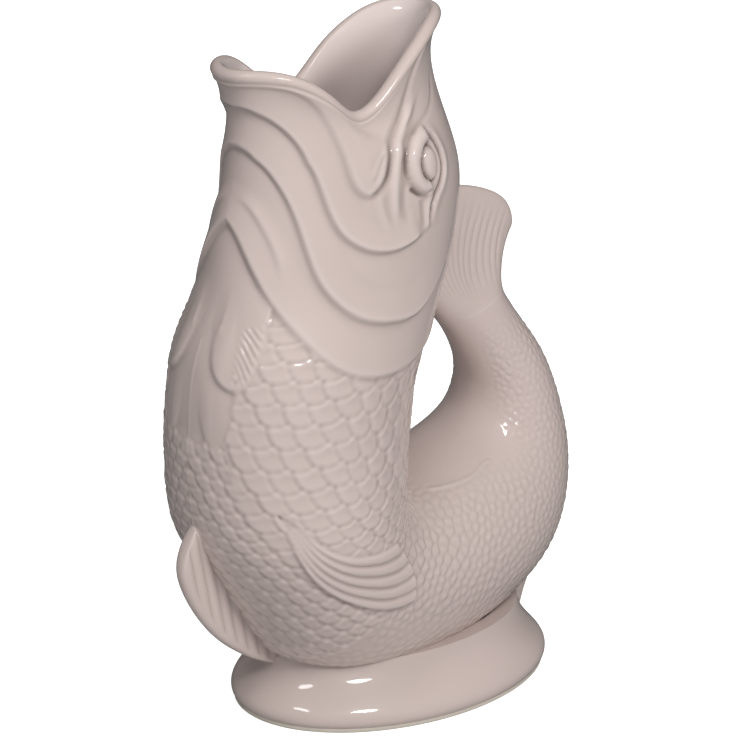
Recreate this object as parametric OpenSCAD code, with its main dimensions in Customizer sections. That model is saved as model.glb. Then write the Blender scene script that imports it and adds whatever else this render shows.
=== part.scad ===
// Gurgle jug: a slip-cast fish standing on its tail bend, with an open mouth
// for a spout and a hollow tail that turns up as the handle.
// Frame: +Z up, the pouring lip looks along -Y, the handle along +Y,
// X is across the fish, the origin is the middle of the resting face.

/* [Body] */
// height of the whole jug, from the table to the snout
jug_h = 243; // [200:1:300]
// thickness of the cast clay
wall = 4.5; // [3:0.1:7]
// radius of the round edge of the mouth
lip_r = 2.4; // [1.5:0.1:4]

/* [Pedestal foot] */
// length of the foot, front to back
foot_l = 126.2; // [100:0.2:160]
// width of the foot
foot_w = 90.6; // [70:0.2:120]
// height at which the fish leaves the foot
foot_h = 22; // [15:0.5:30]
// width of the bare clay ring that the jug stands on
ring_w = 5; // [3:0.5:8]
// height of the bare clay ring
ring_h = 1.6; // [1:0.1:3]
// recess under the floor, above the table
recess_h = 3.6; // [2:0.1:6]

/* [Relief] */
// thickness of a gill cover at its free edge
gill_t = 1.8; // [1:0.1:3]
// thickness of the inner gill cover at its free edge
inner_gill_t = 2; // [1.2:0.1:3]
// thickness of a cheek plate at its free edge
cheek_t = 1.4; // [0.8:0.1:2.5]
// thickness of the flap beside the mouth
flap_t = 2.6; // [1.5:0.1:4]
// thickness of the fins on the breast and on the flank
side_fin_t = 1.9; // [1:0.1:3]
// height of the rays on the fins
ray_h = 0.7; // [0.3:0.1:1.5]
// how far a relief part is bedded below the skin before it is trimmed to it
bed = 2.5; // [1.5:0.1:4]

/* [Eyes] */
// length of the eyeball, along the head
eye_l = 12; // [8:0.2:16]
// width of the eyeball
eye_w = 9; // [6:0.2:12]
// height of the eyeball above the skin
eye_h = 3; // [2:0.1:5]
// thickness of the roll of the eyelid
lid_d = 5; // [3:0.1:7]

/* [Fins] */
// thickness of the tail fin at its free edge
tail_fin_t = 5.4; // [3:0.1:8]
// thickness of the fin under the belly
belly_fin_t = 6; // [3:0.1:9]
// thickness of the keel between the tail and the foot
keel_t = 4.4; // [3:0.1:7]

/* [Hidden] */
// stations of the fish from the throat, down the trunk, round the bend and up
// the tail: the belly line and the back line as [forward, up] shares of jug_h
belly_shares = [
  [-0.265, 0.905], [-0.265, 0.84], [-0.275, 0.775], [-0.295, 0.70],
  [-0.31, 0.63], [-0.345, 0.57], [-0.355, 0.50], [-0.355, 0.415],
  [-0.35, 0.335], [-0.335, 0.27], [-0.28, 0.18], [-0.225, 0.085],
  [-0.13, 0.035], [-0.005, 0.025], [0.12, 0.055], [0.23, 0.105],
  [0.295, 0.175], [0.315, 0.28], [0.30, 0.375], [0.27, 0.465],
  [0.23, 0.515], [0.195, 0.57]
];
back_shares = [
  [0.065, 0.885], [0.085, 0.83], [0.10, 0.78], [0.09, 0.715],
  [0.075, 0.65], [0.04, 0.58], [0, 0.51], [-0.01, 0.425],
  [-0.02, 0.365], [-0.03, 0.33], [-0.02, 0.315], [-0.005, 0.315],
  [0.015, 0.325], [0.04, 0.34], [0.065, 0.355], [0.09, 0.365],
  [0.115, 0.38], [0.135, 0.395], [0.145, 0.42], [0.14, 0.45],
  [0.12, 0.49], [0.095, 0.525]
];
// half width of the fish at each station
width_shares = [
  0.105, 0.12, 0.13, 0.14, 0.145, 0.155, 0.16, 0.165, 0.175, 0.18, 0.175,
  0.17, 0.16, 0.15, 0.14, 0.13, 0.115, 0.10, 0.085, 0.07, 0.055, 0.045
];
// how much fuller the belly side of each station is than its back side
full_shares = [
  0, 0, 0, 0, 0.02, 0.04, 0.06, 0.08, 0.08, 0.06, 0.04,
  0.02, 0, 0, 0, 0, 0, 0, 0, 0, 0, 0
];
// middle line of the lip, from the tip of the lower lip round one side to the
// tip of the snout, every 15 degrees: [across, forward, up] shares of jug_h
lip_shares = [
  [0, -0.272, 0.951], [0.036, -0.277, 0.956], [0.064, -0.262, 0.964],
  [0.082, -0.236, 0.966], [0.093, -0.203, 0.95], [0.092, -0.16, 0.916],
  [0.082, -0.118, 0.887], [0.088, -0.086, 0.905], [0.088, -0.057, 0.94],
  [0.082, -0.022, 0.97], [0.066, 0.014, 0.993], [0.038, 0.05, 1.003],
  [0, 0.064, 1.002]
];
// foot profile: [up as a share of foot_h, along, across as shares of the half sizes]
foot_shares = [
  [0.075, 0.985, 0.98], [0.12, 0.997, 0.995], [0.17, 1, 1], [0.24, 1, 1], [0.31, 0.985, 0.98],
  [0.43, 0.95, 0.935], [0.6, 0.905, 0.87], [0.8, 0.865, 0.79], [1, 0.845, 0.725]
];
// tail fin: outer edge and edge at the head, root to free edge, shares of jug_h
fan_out_shares = [[0.195, 0.57], [0.204, 0.6], [0.216, 0.632], [0.228, 0.658], [0.232, 0.662]];
fan_in_shares = [[0.095, 0.525], [0.05, 0.57], [0.05, 0.63], [0.07, 0.695], [0.09, 0.735]];
fan_bulge_share = 0.014;
// belly fin: free edge and buried edge, top to bottom, shares of jug_h
belly_fin_out_shares = [
  [-0.352, 0.345], [-0.372, 0.3], [-0.381, 0.262], [-0.372, 0.225],
  [-0.348, 0.18], [-0.318, 0.14], [-0.28, 0.108], [-0.245, 0.085], [-0.215, 0.07]
];
belly_fin_in_shares = [
  [-0.33, 0.35], [-0.33, 0.335], [-0.325, 0.315], [-0.32, 0.29],
  [-0.3, 0.245], [-0.275, 0.2], [-0.25, 0.16], [-0.22, 0.12], [-0.185, 0.085]
];
// keel between the tail and the foot: free edge and buried edge
// keel_foot_share is the half length of the foot that these tables were drawn for
keel_foot_share = 0.26;
keel_out_shares = [[0.295, 0.15], [0.282, 0.112], [0.266, 0.082], [0.257, 0.06], [0.252, 0.04]];
keel_in_shares = [[0.25, 0.16], [0.215, 0.125], [0.195, 0.095], [0.185, 0.068], [0.18, 0.045]];

// relief outlines on the skin: [station, angle from the belly line]
gill_top_shares = [
  [0.8, 4], [0.74, 13], [0.88, 23], [1.25, 33], [1.8, 42], [2.45, 49.5],
  [3.05, 58], [3.62, 69], [4.08, 83], [4.28, 97], [4.1, 114], [3.75, 133], [3.6, 152]
];
gill_edge_shares = [
  [2.3, 3], [2.6, 9], [2.95, 17], [3.4, 27], [3.9, 38], [4.4, 50],
  [4.9, 64], [5.3, 79], [5.55, 95], [5.6, 110], [5.45, 127], [5.1, 143], [4.7, 158]
];
inner_gill_top_shares = [
  [0.42, 5], [0.36, 14], [0.38, 27], [0.5, 39], [0.78, 48.5], [1.2, 54.5], [1.7, 59],
  [2.05, 64.5], [2.38, 73], [2.6, 84], [2.68, 95], [2.66, 106], [2.6, 117]
];
inner_gill_edge_shares = [
  [0.92, 4], [0.92, 11], [1.06, 20], [1.5, 30.5], [2.05, 39], [2.7, 46.5], [3.3, 54],
  [3.85, 65], [4.28, 80], [4.48, 96], [4.45, 110], [4.2, 121], [3.8, 130]
];
cheek_top_shares = [
  [0.25, 14], [0.3, 26], [0.35, 36], [0.5, 45], [0.75, 52], [1.05, 58],
  [1.4, 64], [1.75, 72], [2.0, 82], [2.1, 92], [2.1, 101], [2.05, 108]
];
cheek_edge_shares = [
  [0.5, 11], [0.52, 25], [0.65, 37], [0.9, 47], [1.35, 52], [1.85, 55],
  [2.2, 60], [2.55, 67], [2.8, 76], [2.95, 87], [2.95, 98], [2.85, 107]
];
flap_back_shares = [
  [0.24, 139], [0.26, 132], [0.32, 123], [0.38, 112], [0.6, 98], [1.0, 89],
  [1.45, 82], [1.8, 76], [1.85, 73]
];
flap_front_shares = [
  [0.16, 135], [0.16, 125], [0.18, 113], [0.2, 101], [0.34, 87], [0.75, 73],
  [1.2, 66], [1.6, 67], [1.8, 70]
];
// roll of the eyelid, round the front of the eye
lid_shares = [
  [0.7, 119], [0.74, 112], [0.95, 105], [1.3, 102.5], [1.62, 103], [1.84, 107], [1.86, 112], [1.76, 116]
];
lid_size_shares = [0.45, 0.75, 0.95, 1, 1, 1, 0.9, 0.6];
breast_in_shares = [
  [3.2, 7], [3.8, 7], [4.4, 8], [4.9, 9], [5.3, 13], [5.55, 19], [5.66, 25]
];
breast_out_shares = [
  [3.6, 27], [4.0, 33], [4.4, 39], [4.8, 42], [5.15, 42], [5.5, 38], [5.68, 31]
];
lobe_low_shares = [
  [5.3, 5], [5.75, 5.5], [6.15, 7], [6.42, 10], [6.58, 14]
];
lobe_top_shares = [
  [5.4, 14], [5.62, 25], [6.0, 27], [6.35, 24.5], [6.58, 20]
];
side_root_shares = [
  [7.85, 48], [8.1, 50], [8.62, 52.3], [9.25, 56], [9.72, 62], [10.1, 69.5], [10.55, 77.5],
  [10.93, 84.5], [11.35, 91]
];
side_top_shares = [
  [7.75, 51], [7.9, 56], [8.25, 61], [8.58, 68], [8.88, 78], [9.09, 88.5], [9.26, 98], [9.36, 107]
];

// points round a station, and the stations where one cast part meets the next
around = 36;
throat_share = 1;
neck_share = 4;
waist_share = 8;
bend_share = 15.5;
blind_share = 20;
tip_share = 21;
// where the eye sits, as a station and an angle
eye_shares = [1.38, 111];
floor_h = recess_h + wall;

glaze = [0.76, 0.7, 0.67];
glaze_dark = [0.7, 0.63, 0.61];
bare_clay = [0.88, 0.85, 0.8];

// smooth curve through a table: s runs from 0 at the first row to the last row
function row_at(p, i) =
  i < 0 ? 2 * p[0] - p[1] : i > len(p) - 1 ? 2 * p[len(p) - 1] - p[len(p) - 2] : p[i];
function blend(a, b, c, d, s) =
  (pow(1 - s, 3) * a + (3 * pow(s, 3) - 6 * s * s + 4) * b
    + (3 * s * s + 3 * s + 1 - 3 * pow(s, 3)) * c + pow(s, 3) * d) / 6;
function curve(p, u) =
  let (i = max(0, min(floor(u), len(p) - 2)))
  blend(row_at(p, i - 1), row_at(p, i), row_at(p, i + 1), row_at(p, i + 2), u - i);

// a point of the fish at station u and angle t, inset below the skin
function ring_point(u, t, inset) =
  let (
    v = jug_h * curve(belly_shares, u),
    b = jug_h * curve(back_shares, u),
    w = jug_h * curve(width_shares, u) - inset,
    f = curve(full_shares, u),
    half = norm(v - b) / 2,
    way = (v - b) / norm(v - b),
    p = (v + b) / 2 + way * (half - inset) * cos(t)
  )
  [w * sin(t) * (1 + f * cos(t)), p[0], p[1]];

// middle line of the lip, mirrored across the fish
function lip_row(i) =
  let (n = len(lip_shares) - 1, k = i < 0 ? -i : i > n ? 2 * n - i : i, p = lip_shares[k])
  [i < 0 || i > n ? -p[0] : p[0], p[1], p[2]];
function lip_point(t) =
  let (
    n = len(lip_shares) - 1,
    a = (t > 180 ? 360 - t : t) * n / 180,
    i = min(floor(a), n - 1),
    p = jug_h * blend(lip_row(i - 1), lip_row(i), lip_row(i + 1), lip_row(i + 2), a - i)
  )
  [t > 180 ? -p[0] : p[0], p[1], p[2]];
function unit(v) = v / norm(v);
// the lip leans out most at the pouring side
function lip_lean(t) = 12 + (cos(t) > 0 ? 30 : 24) * pow(cos(t), 2);
function lip_out(t) = unit([sin(t) / 0.6, -cos(t), 0]);
function lip_side(t) = cos(lip_lean(t)) * lip_out(t) - sin(lip_lean(t)) * [0, 0, 1];
function lip_rise(t) = cos(lip_lean(t)) * [0, 0, 1] + sin(lip_lean(t)) * lip_out(t);

// the mouth: s runs from 0 at the throat to 1 at the lip, side 1 is the skin
function mouth_point(s, t, side) =
  let (
    inset = side > 0 ? 0 : wall,
    low = ring_point(1, t, inset),
    up = unit(ring_point(0.9, t, inset) - ring_point(1.1, t, inset)),
    high = lip_point(t) + side * lip_r * lip_side(t),
    reach = norm(high - low),
    a = low + up * 0.4 * reach,
    b = high - lip_rise(t) * 0.3 * reach
  )
  pow(1 - s, 3) * low + 3 * pow(1 - s, 2) * s * a + 3 * (1 - s) * s * s * b + pow(s, 3) * high;
function skin_point(u, t) = u < 1 ? mouth_point(1 - u, t, 1) : ring_point(u, t, 0);
function core_point(u, t) = u < 1 ? mouth_point(1 - u, t, -1) : ring_point(u, t, wall);

angles = [for (j = [0 : around - 1]) j * 360 / around];
function skin_rows(us) = [for (u = us) [for (t = angles) skin_point(u, t)]];
function core_rows(us) = [for (u = us) [for (t = angles) core_point(u, t)]];
function reversed(rows) = [for (i = [len(rows) - 1 : -1 : 0]) rows[i]];

// stations from one place to the next in even steps, and a list without its first one
function span(from, to, steps) = [for (i = [0 : steps]) from + (to - from) * i / steps];
function rest(list) = [for (i = [1 : len(list) - 1]) list[i]];

head_us = concat(span(0, throat_share, 6), rest(span(throat_share, neck_share, 6)));
core_head_us = concat(span(0, throat_share, 3), rest(span(throat_share, neck_share, 4)));
trunk_us = concat(span(neck_share, waist_share, 6), rest(span(waist_share, bend_share, 18)));
core_trunk_us = concat(span(neck_share, waist_share, 3), rest(span(waist_share, bend_share, 10)));
tail_us = span(bend_share, tip_share, 9);
core_tail_us = span(bend_share, blind_share, 5);

// a closed mesh from rows of points: a tube that closes on itself, or one with
// two end faces. mirrored rows get mirrored facets, and end faces laid as strips
// across the mirror plane
module row_mesh(rows, tube, mirrored) {
  n = len(rows[0]);
  m = len(rows);
  last = tube ? m - 1 : m - 2;
  sides = [
    for (i = [0 : last]) for (j = [0 : n - 1])
      let (a = i * n + j, b = i * n + (j + 1) % n, c = ((i + 1) % m) * n + (j + 1) % n,
        d = ((i + 1) % m) * n + j)
      each (mirrored && j >= n / 2 ? [[a, b, d], [b, c, d]] : [[a, b, c], [a, c, d]])
  ];
  start = end_face(n, mirrored);
  finish = [for (f = start) [for (p = f) p + (m - 1) * n]];
  ends = tube ? [] : concat([for (f = start) reversed(f)], finish);
  polyhedron(points = [for (r = rows) each r], faces = concat(sides, ends), convexity = 10);
}
function end_face(n, mirrored) =
  mirrored
    ? [
        for (j = [0 : n / 2 - 1])
          let (a = j, b = j + 1, c = n - j - 1, d = (n - j) % n)
          each [for (f = [[a, b, c], [a, c, d]]) if (f[0] != f[1] && f[1] != f[2] && f[2] != f[0]) f]
      ]
    : [for (j = [0 : n - 3]) [n - 1, j, j + 1]];

// keeps a carved solid as one closed mesh
module one_mesh() {
  resize([0, 0, 0])
    children();
}

// the fish as a solid up to its skin: head and trunk, or with the tail as well
module skin_solid() {
  row_mesh(skin_rows(concat(head_us, rest(trunk_us))), false, true);
}
module fish_solid() {
  row_mesh(skin_rows(concat(head_us, rest(trunk_us), rest(tail_us))), false, true);
}

module head() {
  edge = [
    for (a = [36 : 36 : 144]) [
      for (t = angles) lip_point(t) + lip_r * (cos(a) * lip_side(t) + sin(a) * lip_rise(t))
    ]
  ];
  color(glaze)
    row_mesh(
      concat(skin_rows(head_us), reversed(core_rows(core_head_us)), reversed(edge)),
      true, true
    );
}

module trunk() {
  color(glaze)
    one_mesh()
      difference() {
        row_mesh(concat(skin_rows(trunk_us), reversed(core_rows(core_trunk_us))), true, true);
        translate([-jug_h / 2, -jug_h / 2, foot_h - jug_h])
          cube([jug_h, jug_h, jug_h]);
      }
}

module tail() {
  color(glaze)
    row_mesh(
      concat(reversed(core_rows(core_tail_us)), skin_rows(tail_us)),
      false, true
    );
}

// one level of the foot: an oval
function oval(along, across, z) =
  [for (t = angles) [across * sin(t), -along * cos(t), z]];
function foot_row(r, inset) =
  oval(r[1] * foot_l / 2 - inset, r[2] * foot_w / 2 - inset, r[0] * foot_h);

function foot_rows() = [for (i = [1 : len(foot_shares) - 1]) foot_row(foot_shares[i], 0)];

module foot_solid() {
  row_mesh(reversed(foot_rows()), false, true);
}

module foot() {
  n = len(foot_shares) - 1;
  base = foot_shares[0];
  ring_l = base[1] * foot_l / 2 - ring_w;
  ring_b = base[2] * foot_w / 2 - ring_w;
  inside = [
    foot_row(foot_shares[n], wall * 1.3), foot_row(foot_shares[n - 1], wall * 1.2),
    foot_row(foot_shares[n - 2], wall * 1.15),
    oval(0.93 * foot_l / 2 - wall * 1.2, 0.91 * foot_w / 2 - wall * 1.2, floor_h)
  ];
  color(glaze)
    row_mesh(
      concat(
        reversed(inside), reversed(foot_rows()),
        [oval(base[1] * foot_l / 2, base[2] * foot_w / 2, ring_h)],
        [oval(ring_l, ring_b, ring_h), oval(ring_l, ring_b, recess_h)]
      ),
      false, true
    );
}

module foot_ring() {
  base = foot_shares[0];
  color(bare_clay)
    linear_extrude(ring_h)
      difference() {
        polygon([for (p = oval(base[1] * foot_l / 2, base[2] * foot_w / 2, 0)) [p[0], p[1]]]);
        polygon([
          for (p = oval(base[1] * foot_l / 2 - ring_w, base[2] * foot_w / 2 - ring_w, 0))
            [p[0], p[1]]
        ]);
      }
}

// a fin in the mirror plane, from a buried edge to a free edge. Each station is a
// row of points over one face and back over the other. round_ends is 1 where both
// the first and the last station are free, 0 where only the last one is
module blade(out, in, thick, root_thick, rays, bulge, steps, across, round_ends) {
  m = len(out) - 1;
  turn = sign(cross(out[0] - in[0], out[m] - out[0]));
  rows = [
    for (i = [0 : steps])
      let (
        s = round_ends > 0 ? (1 - cos(180 * i / steps)) / 2 : sin(90 * i / steps),
        v = jug_h * curve(out, m * s),
        b = jug_h * curve(in, m * s),
        side = unit([b[1] - v[1], v[0] - b[0]]),
        rise = side * bulge * s * s,
        free = round_ends > 0 ? abs(2 * s - 1) : s,
        fade = max(0.3, pow(1 - pow(free, 10), 0.5)),
        power = round_ends > 0 ? 5 : 2 + 3 * min(1, 2 * s),
        half = (thick + (root_thick - thick) * pow(1 - s, 2)) / 2
      )
      [
        for (j = [0 : 2 * across - 1])
          let (
            w = j < across ? 1 - 2 * j / across : 2 * j / across - 3,
            ray = ray_h * cos(360 * rays * (round_ends > 0 ? s : w / 2)) * min(1, 3 * s),
            x = (half + ray * (1 - pow(w, 8))) * pow(1 - pow(abs(w), power), 0.5),
            p = (v + b) / 2 + (v - b) / 2 * w + rise * (1 - w * w)
          )
          [(j < across ? turn : -turn) * x * fade, p[0], p[1]]
      ]
  ];
  row_mesh(rows, false, true);
}

module tail_fin() {
  tip_w = 2 * jug_h * curve(width_shares, tip_share);
  color(glaze)
    one_mesh()
      difference() {
        blade(
          fan_out_shares, fan_in_shares, tail_fin_t, tip_w, 9, fan_bulge_share * jug_h, 9, 32, 0
        );
        skin_solid();
      }
}

module belly_fin() {
  color(glaze)
    one_mesh()
      difference() {
        blade(
          belly_fin_out_shares, belly_fin_in_shares, belly_fin_t, belly_fin_t, 9, 0, 36, 6, 1
        );
        skin_solid();
        foot_solid();
      }
}

// the keel's rows move with the end of the foot, the lowest row all the way
function on_foot(rows) =
  let (move = foot_l / (2 * jug_h) - keel_foot_share, n = len(rows) - 1)
  [for (i = [0 : n]) [rows[i][0] + move * i / n, rows[i][1]]];

module keel_fin() {
  color(glaze_dark)
    one_mesh()
      difference() {
        blade(on_foot(keel_out_shares), on_foot(keel_in_shares), keel_t, keel_t, 0, 0, 8, 6, 1);
        fish_solid();
        foot_solid();
      }
}

// direction straight out of the skin
function skin_out(u, t) =
  unit(cross(
    skin_point(u + 0.04, t) - skin_point(max(0, u - 0.04), t),
    skin_point(u, t + 1) - skin_point(u, t - 1)
  ));
function above(u, t, h) = skin_point(u, t) + h * skin_out(u, t);

// a plate laid on the skin between two outlines, first_t thick at the first one and
// last_t at the other, with rays that run along it. It reaches bed below the skin
module plate_body(first, other, first_t, last_t, rays, steps, across) {
  m = len(first) - 1;
  k = len(other) - 1;
  rows = [
    for (i = [0 : steps])
      let (
        s = i / steps,
        p = curve(first, m * s),
        q = curve(other, k * s),
        fade = min(1, 0.5 + 4 * s, 0.5 + 4 * (1 - s))
      )
      concat(
        [
          for (j = [0 : across])
            let (
              w = j / across,
              a = p + (q - p) * w,
              h = first_t + (last_t - first_t) * w + (rays > 0 ? ray_h * cos(360 * rays * w) / 2 : 0)
            )
            above(a[0], a[1], h * fade)
        ],
        [above(q[0], q[1], -bed), above(p[0], p[1], -bed)]
      )
  ];
  row_mesh(rows, false, false);
}

// trims a plate to the skin. The plate that lies over it is the second child
module seated() {
  color(glaze)
    one_mesh()
      difference() {
        children(0);
        skin_solid();
        if ($children > 1) children(1);
      }
}

module gill_body() {
  plate_body(gill_edge_shares, gill_top_shares, gill_t, gill_t / 2, 0, 20, 3);
}
// thins out to slip under the cheek plate
module inner_gill_body() {
  low = cheek_t / 4;
  plate_body(inner_gill_edge_shares, inner_gill_top_shares, inner_gill_t, low, 0, 20, 2);
}
module cheek_body() {
  plate_body(cheek_edge_shares, cheek_top_shares, cheek_t, cheek_t / 2, 0, 16, 2);
}
module breast_body() {
  plate_body(breast_in_shares, breast_out_shares, side_fin_t / 2, side_fin_t, 0, 10, 4);
}

module gill_left() {
  seated() {
    gill_body();
    inner_gill_body();
  }
}
module inner_gill_left() {
  seated() {
    inner_gill_body();
    cheek_body();
  }
}
module cheek_left() {
  seated()
    cheek_body();
}
module flap_left() {
  seated()
    plate_body(flap_front_shares, flap_back_shares, flap_t / 2, flap_t, 0, 16, 3);
}
module breast_fin_left() {
  seated()
    breast_body();
}
module breast_lobe_left() {
  seated() {
    plate_body(lobe_low_shares, lobe_top_shares, side_fin_t / 2, side_fin_t / 2, 0, 8, 3);
    breast_body();
  }
}
module side_fin_left() {
  seated()
    plate_body(side_root_shares, side_top_shares, side_fin_t, side_fin_t, 5, 12, 15);
}

// the eyeball stands in the frame of the skin under it
module eyeball() {
  u = eye_shares[0];
  a = eye_shares[1];
  o = skin_out(u, a);
  e = unit(skin_point(u + 0.2, a) - skin_point(u - 0.2, a));
  d = cross(o, e);
  c = skin_point(u, a);
  multmatrix([
    [e[0], d[0], o[0], c[0]], [e[1], d[1], o[1], c[1]], [e[2], d[2], o[2], c[2]], [0, 0, 0, 1]
  ])
    scale([eye_l / 2, eye_w / 2, eye_h])
      sphere(1, $fn = 20);
}
module eye_left() {
  color(glaze_dark)
    one_mesh()
      difference() {
        eyeball();
        skin_solid();
      }
}
module eyelid_left() {
  steps = 14;
  m = len(lid_shares) - 1;
  rows = [
    for (i = [0 : steps])
      let (
        s = m * i / steps,
        r = lid_d / 2 * curve(lid_size_shares, s) * min(1, 0.4 + 8 * i / steps, 0.4 + 8 * (1 - i / steps)),
        a = curve(lid_shares, s),
        b = curve(lid_shares, min(m, s + 0.05)),
        c = curve(lid_shares, max(0, s - 0.05)),
        o = skin_out(a[0], a[1]),
        way = unit(skin_point(b[0], b[1]) - skin_point(c[0], c[1])),
        d = unit(cross(o, way))
      )
      [
        for (j = [0 : 9])
          skin_point(a[0], a[1]) + o * 0.2 * r + r * (cos(36 * j) * o + sin(36 * j) * d)
      ]
  ];
  color(glaze)
    one_mesh()
      difference() {
        row_mesh(rows, false, true);
        skin_solid();
        eyeball();
      }
}

// the other flank mirrors the left one
module gill_right() {
  mirror([1, 0, 0])
    gill_left();
}
module inner_gill_right() {
  mirror([1, 0, 0])
    inner_gill_left();
}
module cheek_right() {
  mirror([1, 0, 0])
    cheek_left();
}
module flap_right() {
  mirror([1, 0, 0])
    flap_left();
}
module eye_right() {
  mirror([1, 0, 0])
    eye_left();
}
module eyelid_right() {
  mirror([1, 0, 0])
    eyelid_left();
}
module breast_fin_right() {
  mirror([1, 0, 0])
    breast_fin_left();
}
module breast_lobe_right() {
  mirror([1, 0, 0])
    breast_lobe_left();
}
module side_fin_right() {
  mirror([1, 0, 0])
    side_fin_left();
}

head();
trunk();
tail();
tail_fin();
foot();
foot_ring();
belly_fin();
keel_fin();
gill_left();
gill_right();
inner_gill_left();
inner_gill_right();
cheek_left();
cheek_right();
flap_left();
flap_right();
eye_left();
eye_right();
eyelid_left();
eyelid_right();
breast_fin_left();
breast_fin_right();
breast_lobe_left();
breast_lobe_right();
side_fin_left();
side_fin_right();
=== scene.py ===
# %% [markdown]
# # A fish-shaped gurgle jug in pale pink-grey glaze
#
# The jug is slip-cast clay: a fish that stands on the bend of its own tail, with its
# open mouth as the spout and its hollow tail as the handle. It is glazed all over in
# one glossy mushroom colour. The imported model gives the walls, the fins and the foot.
# This lesson builds the same fish again as fine meshes, with the scales, the folds of
# the gills and the rays of the fins that a plaster mould leaves in the clay.

# %% Load the frame
import math

import bmesh
import bpy
import numpy as np
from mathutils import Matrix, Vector
from mathutils.kdtree import KDTree


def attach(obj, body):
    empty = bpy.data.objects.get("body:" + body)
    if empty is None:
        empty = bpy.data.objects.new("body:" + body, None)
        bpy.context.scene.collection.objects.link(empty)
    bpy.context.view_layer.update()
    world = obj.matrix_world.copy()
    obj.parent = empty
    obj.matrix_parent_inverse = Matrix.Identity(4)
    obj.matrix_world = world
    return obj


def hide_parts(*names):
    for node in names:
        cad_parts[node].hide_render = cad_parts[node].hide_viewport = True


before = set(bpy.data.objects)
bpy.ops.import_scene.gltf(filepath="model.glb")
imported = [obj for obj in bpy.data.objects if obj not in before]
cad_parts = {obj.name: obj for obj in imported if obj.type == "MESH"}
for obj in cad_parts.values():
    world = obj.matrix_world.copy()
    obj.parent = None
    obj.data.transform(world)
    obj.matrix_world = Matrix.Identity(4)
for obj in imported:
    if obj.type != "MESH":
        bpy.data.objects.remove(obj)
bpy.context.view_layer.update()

# %% [markdown]
# ## The camera first
#
# A camera can be placed by eye, or solved from shapes whose true form is known. Here
# the foot is an oval and the mouth is the same on both sides, which is enough to solve
# for the angle. The camera is set before any modelling, so that every test render can
# be laid beside the photograph.

# %% Camera
MM = 0.001
camera_turn = math.radians(52.0)
camera_tilt = math.radians(19.36)
camera_far = 1.060
look_at = Vector((0, -0.01017, 0.11846))
away = Vector((
    math.sin(camera_turn) * math.cos(camera_tilt),
    -math.cos(camera_turn) * math.cos(camera_tilt),
    math.sin(camera_tilt),
))
camera = bpy.data.objects.new("camera", bpy.data.cameras.new("camera"))
camera.data.sensor_width = 36.0
camera.data.lens = 148.87
camera.data.clip_start, camera.data.clip_end = 0.05, 20.0
camera.location = look_at + away * camera_far
camera.rotation_mode = "QUATERNION"
camera.rotation_quaternion = (-away).to_track_quat("-Z", "Y")
scene = bpy.context.scene
scene.collection.objects.link(camera)
scene.camera = camera
scene.view_settings.view_transform = "Standard"
print("camera at", [round(c, 3) for c in camera.location])

# %% [markdown]
# ## The fish as a table of stations
#
# A fish is easiest to draw the way boats are drawn: as stations along its length. Each
# station has a point on the belly line, a point on the back line and a half width. The
# rows run from the throat down the trunk, round the bend and up the tail. A box model
# with subdivision would also do, but a table keeps the wall, the scales and the folds
# on one rule, so nothing drifts apart. The numbers are shares of the jug's height.

# %% Stations
JUG_HEIGHT = 243.0  # millimetres, as everything on the fish is until a mesh is made
WALL = 4.5
LIP = 2.4  # half the thickness of the lip
NECK, WAIST, TAIL_ROOT, TAIL_TIP = 4, 10, 15.5, 21  # the stations where parts meet
CHAMBER_END = 20  # the last station of the hollow in the tail
belly_line = JUG_HEIGHT * np.array([
    (-0.265, 0.905), (-0.265, 0.84), (-0.275, 0.775), (-0.295, 0.70), (-0.31, 0.63), (-0.345, 0.57),
    (-0.355, 0.50), (-0.355, 0.415), (-0.35, 0.335), (-0.335, 0.27), (-0.28, 0.18), (-0.225, 0.085),
    (-0.13, 0.035), (-0.005, 0.025), (0.12, 0.055), (0.23, 0.105), (0.295, 0.175), (0.315, 0.28),
    (0.30, 0.375), (0.27, 0.465), (0.23, 0.515), (0.195, 0.57)])
back_line = JUG_HEIGHT * np.array([
    (0.065, 0.885), (0.085, 0.83), (0.10, 0.78), (0.09, 0.715), (0.075, 0.65), (0.04, 0.58),
    (0, 0.51), (-0.01, 0.425), (-0.02, 0.365), (-0.03, 0.33), (-0.02, 0.315), (-0.005, 0.315),
    (0.015, 0.325), (0.04, 0.34), (0.065, 0.355), (0.09, 0.365), (0.115, 0.38), (0.135, 0.395),
    (0.145, 0.42), (0.14, 0.45), (0.12, 0.49), (0.095, 0.525)])
half_width = JUG_HEIGHT * np.array([
    0.105, 0.12, 0.13, 0.14, 0.145, 0.155, 0.16, 0.165, 0.175, 0.18, 0.175,
    0.17, 0.16, 0.15, 0.14, 0.13, 0.115, 0.10, 0.085, 0.07, 0.055, 0.045])
fuller_belly = np.array([0, 0, 0, 0, 0.02, 0.04, 0.06, 0.08, 0.08, 0.06, 0.04, 0.02] + [0] * 10)
print(len(belly_line), "stations from the throat to the tip of the tail")


# %% [markdown]
# A cubic B-spline passes close to its points instead of through them. That is the
# right curve here: clay has no kinks, and a point that is a little off does no harm.

# %% Smooth curve through a table
def along(rows, place):
    """The B-spline through a table's rows; place counts rows, and may be an array."""
    rows = np.asarray(rows, float)
    last = len(rows) - 1
    padded = np.concatenate([[2 * rows[0] - rows[1]], rows, [2 * rows[-1] - rows[-2]]])
    k = np.clip(np.floor(place).astype(int), 0, last - 1)
    s = np.asarray(place - k, float)
    s = s.reshape(s.shape + (1,) * (rows.ndim - 1))
    return ((1 - s) ** 3 * padded[k]
            + (3 * s ** 3 - 6 * s ** 2 + 4) * padded[k + 1]
            + (3 * s ** 2 + 3 * s + 1 - 3 * s ** 3) * padded[k + 2]
            + s ** 3 * padded[k + 3]) / 6


def unit(v):
    return v / np.linalg.norm(v, axis=-1, keepdims=True)


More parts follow.
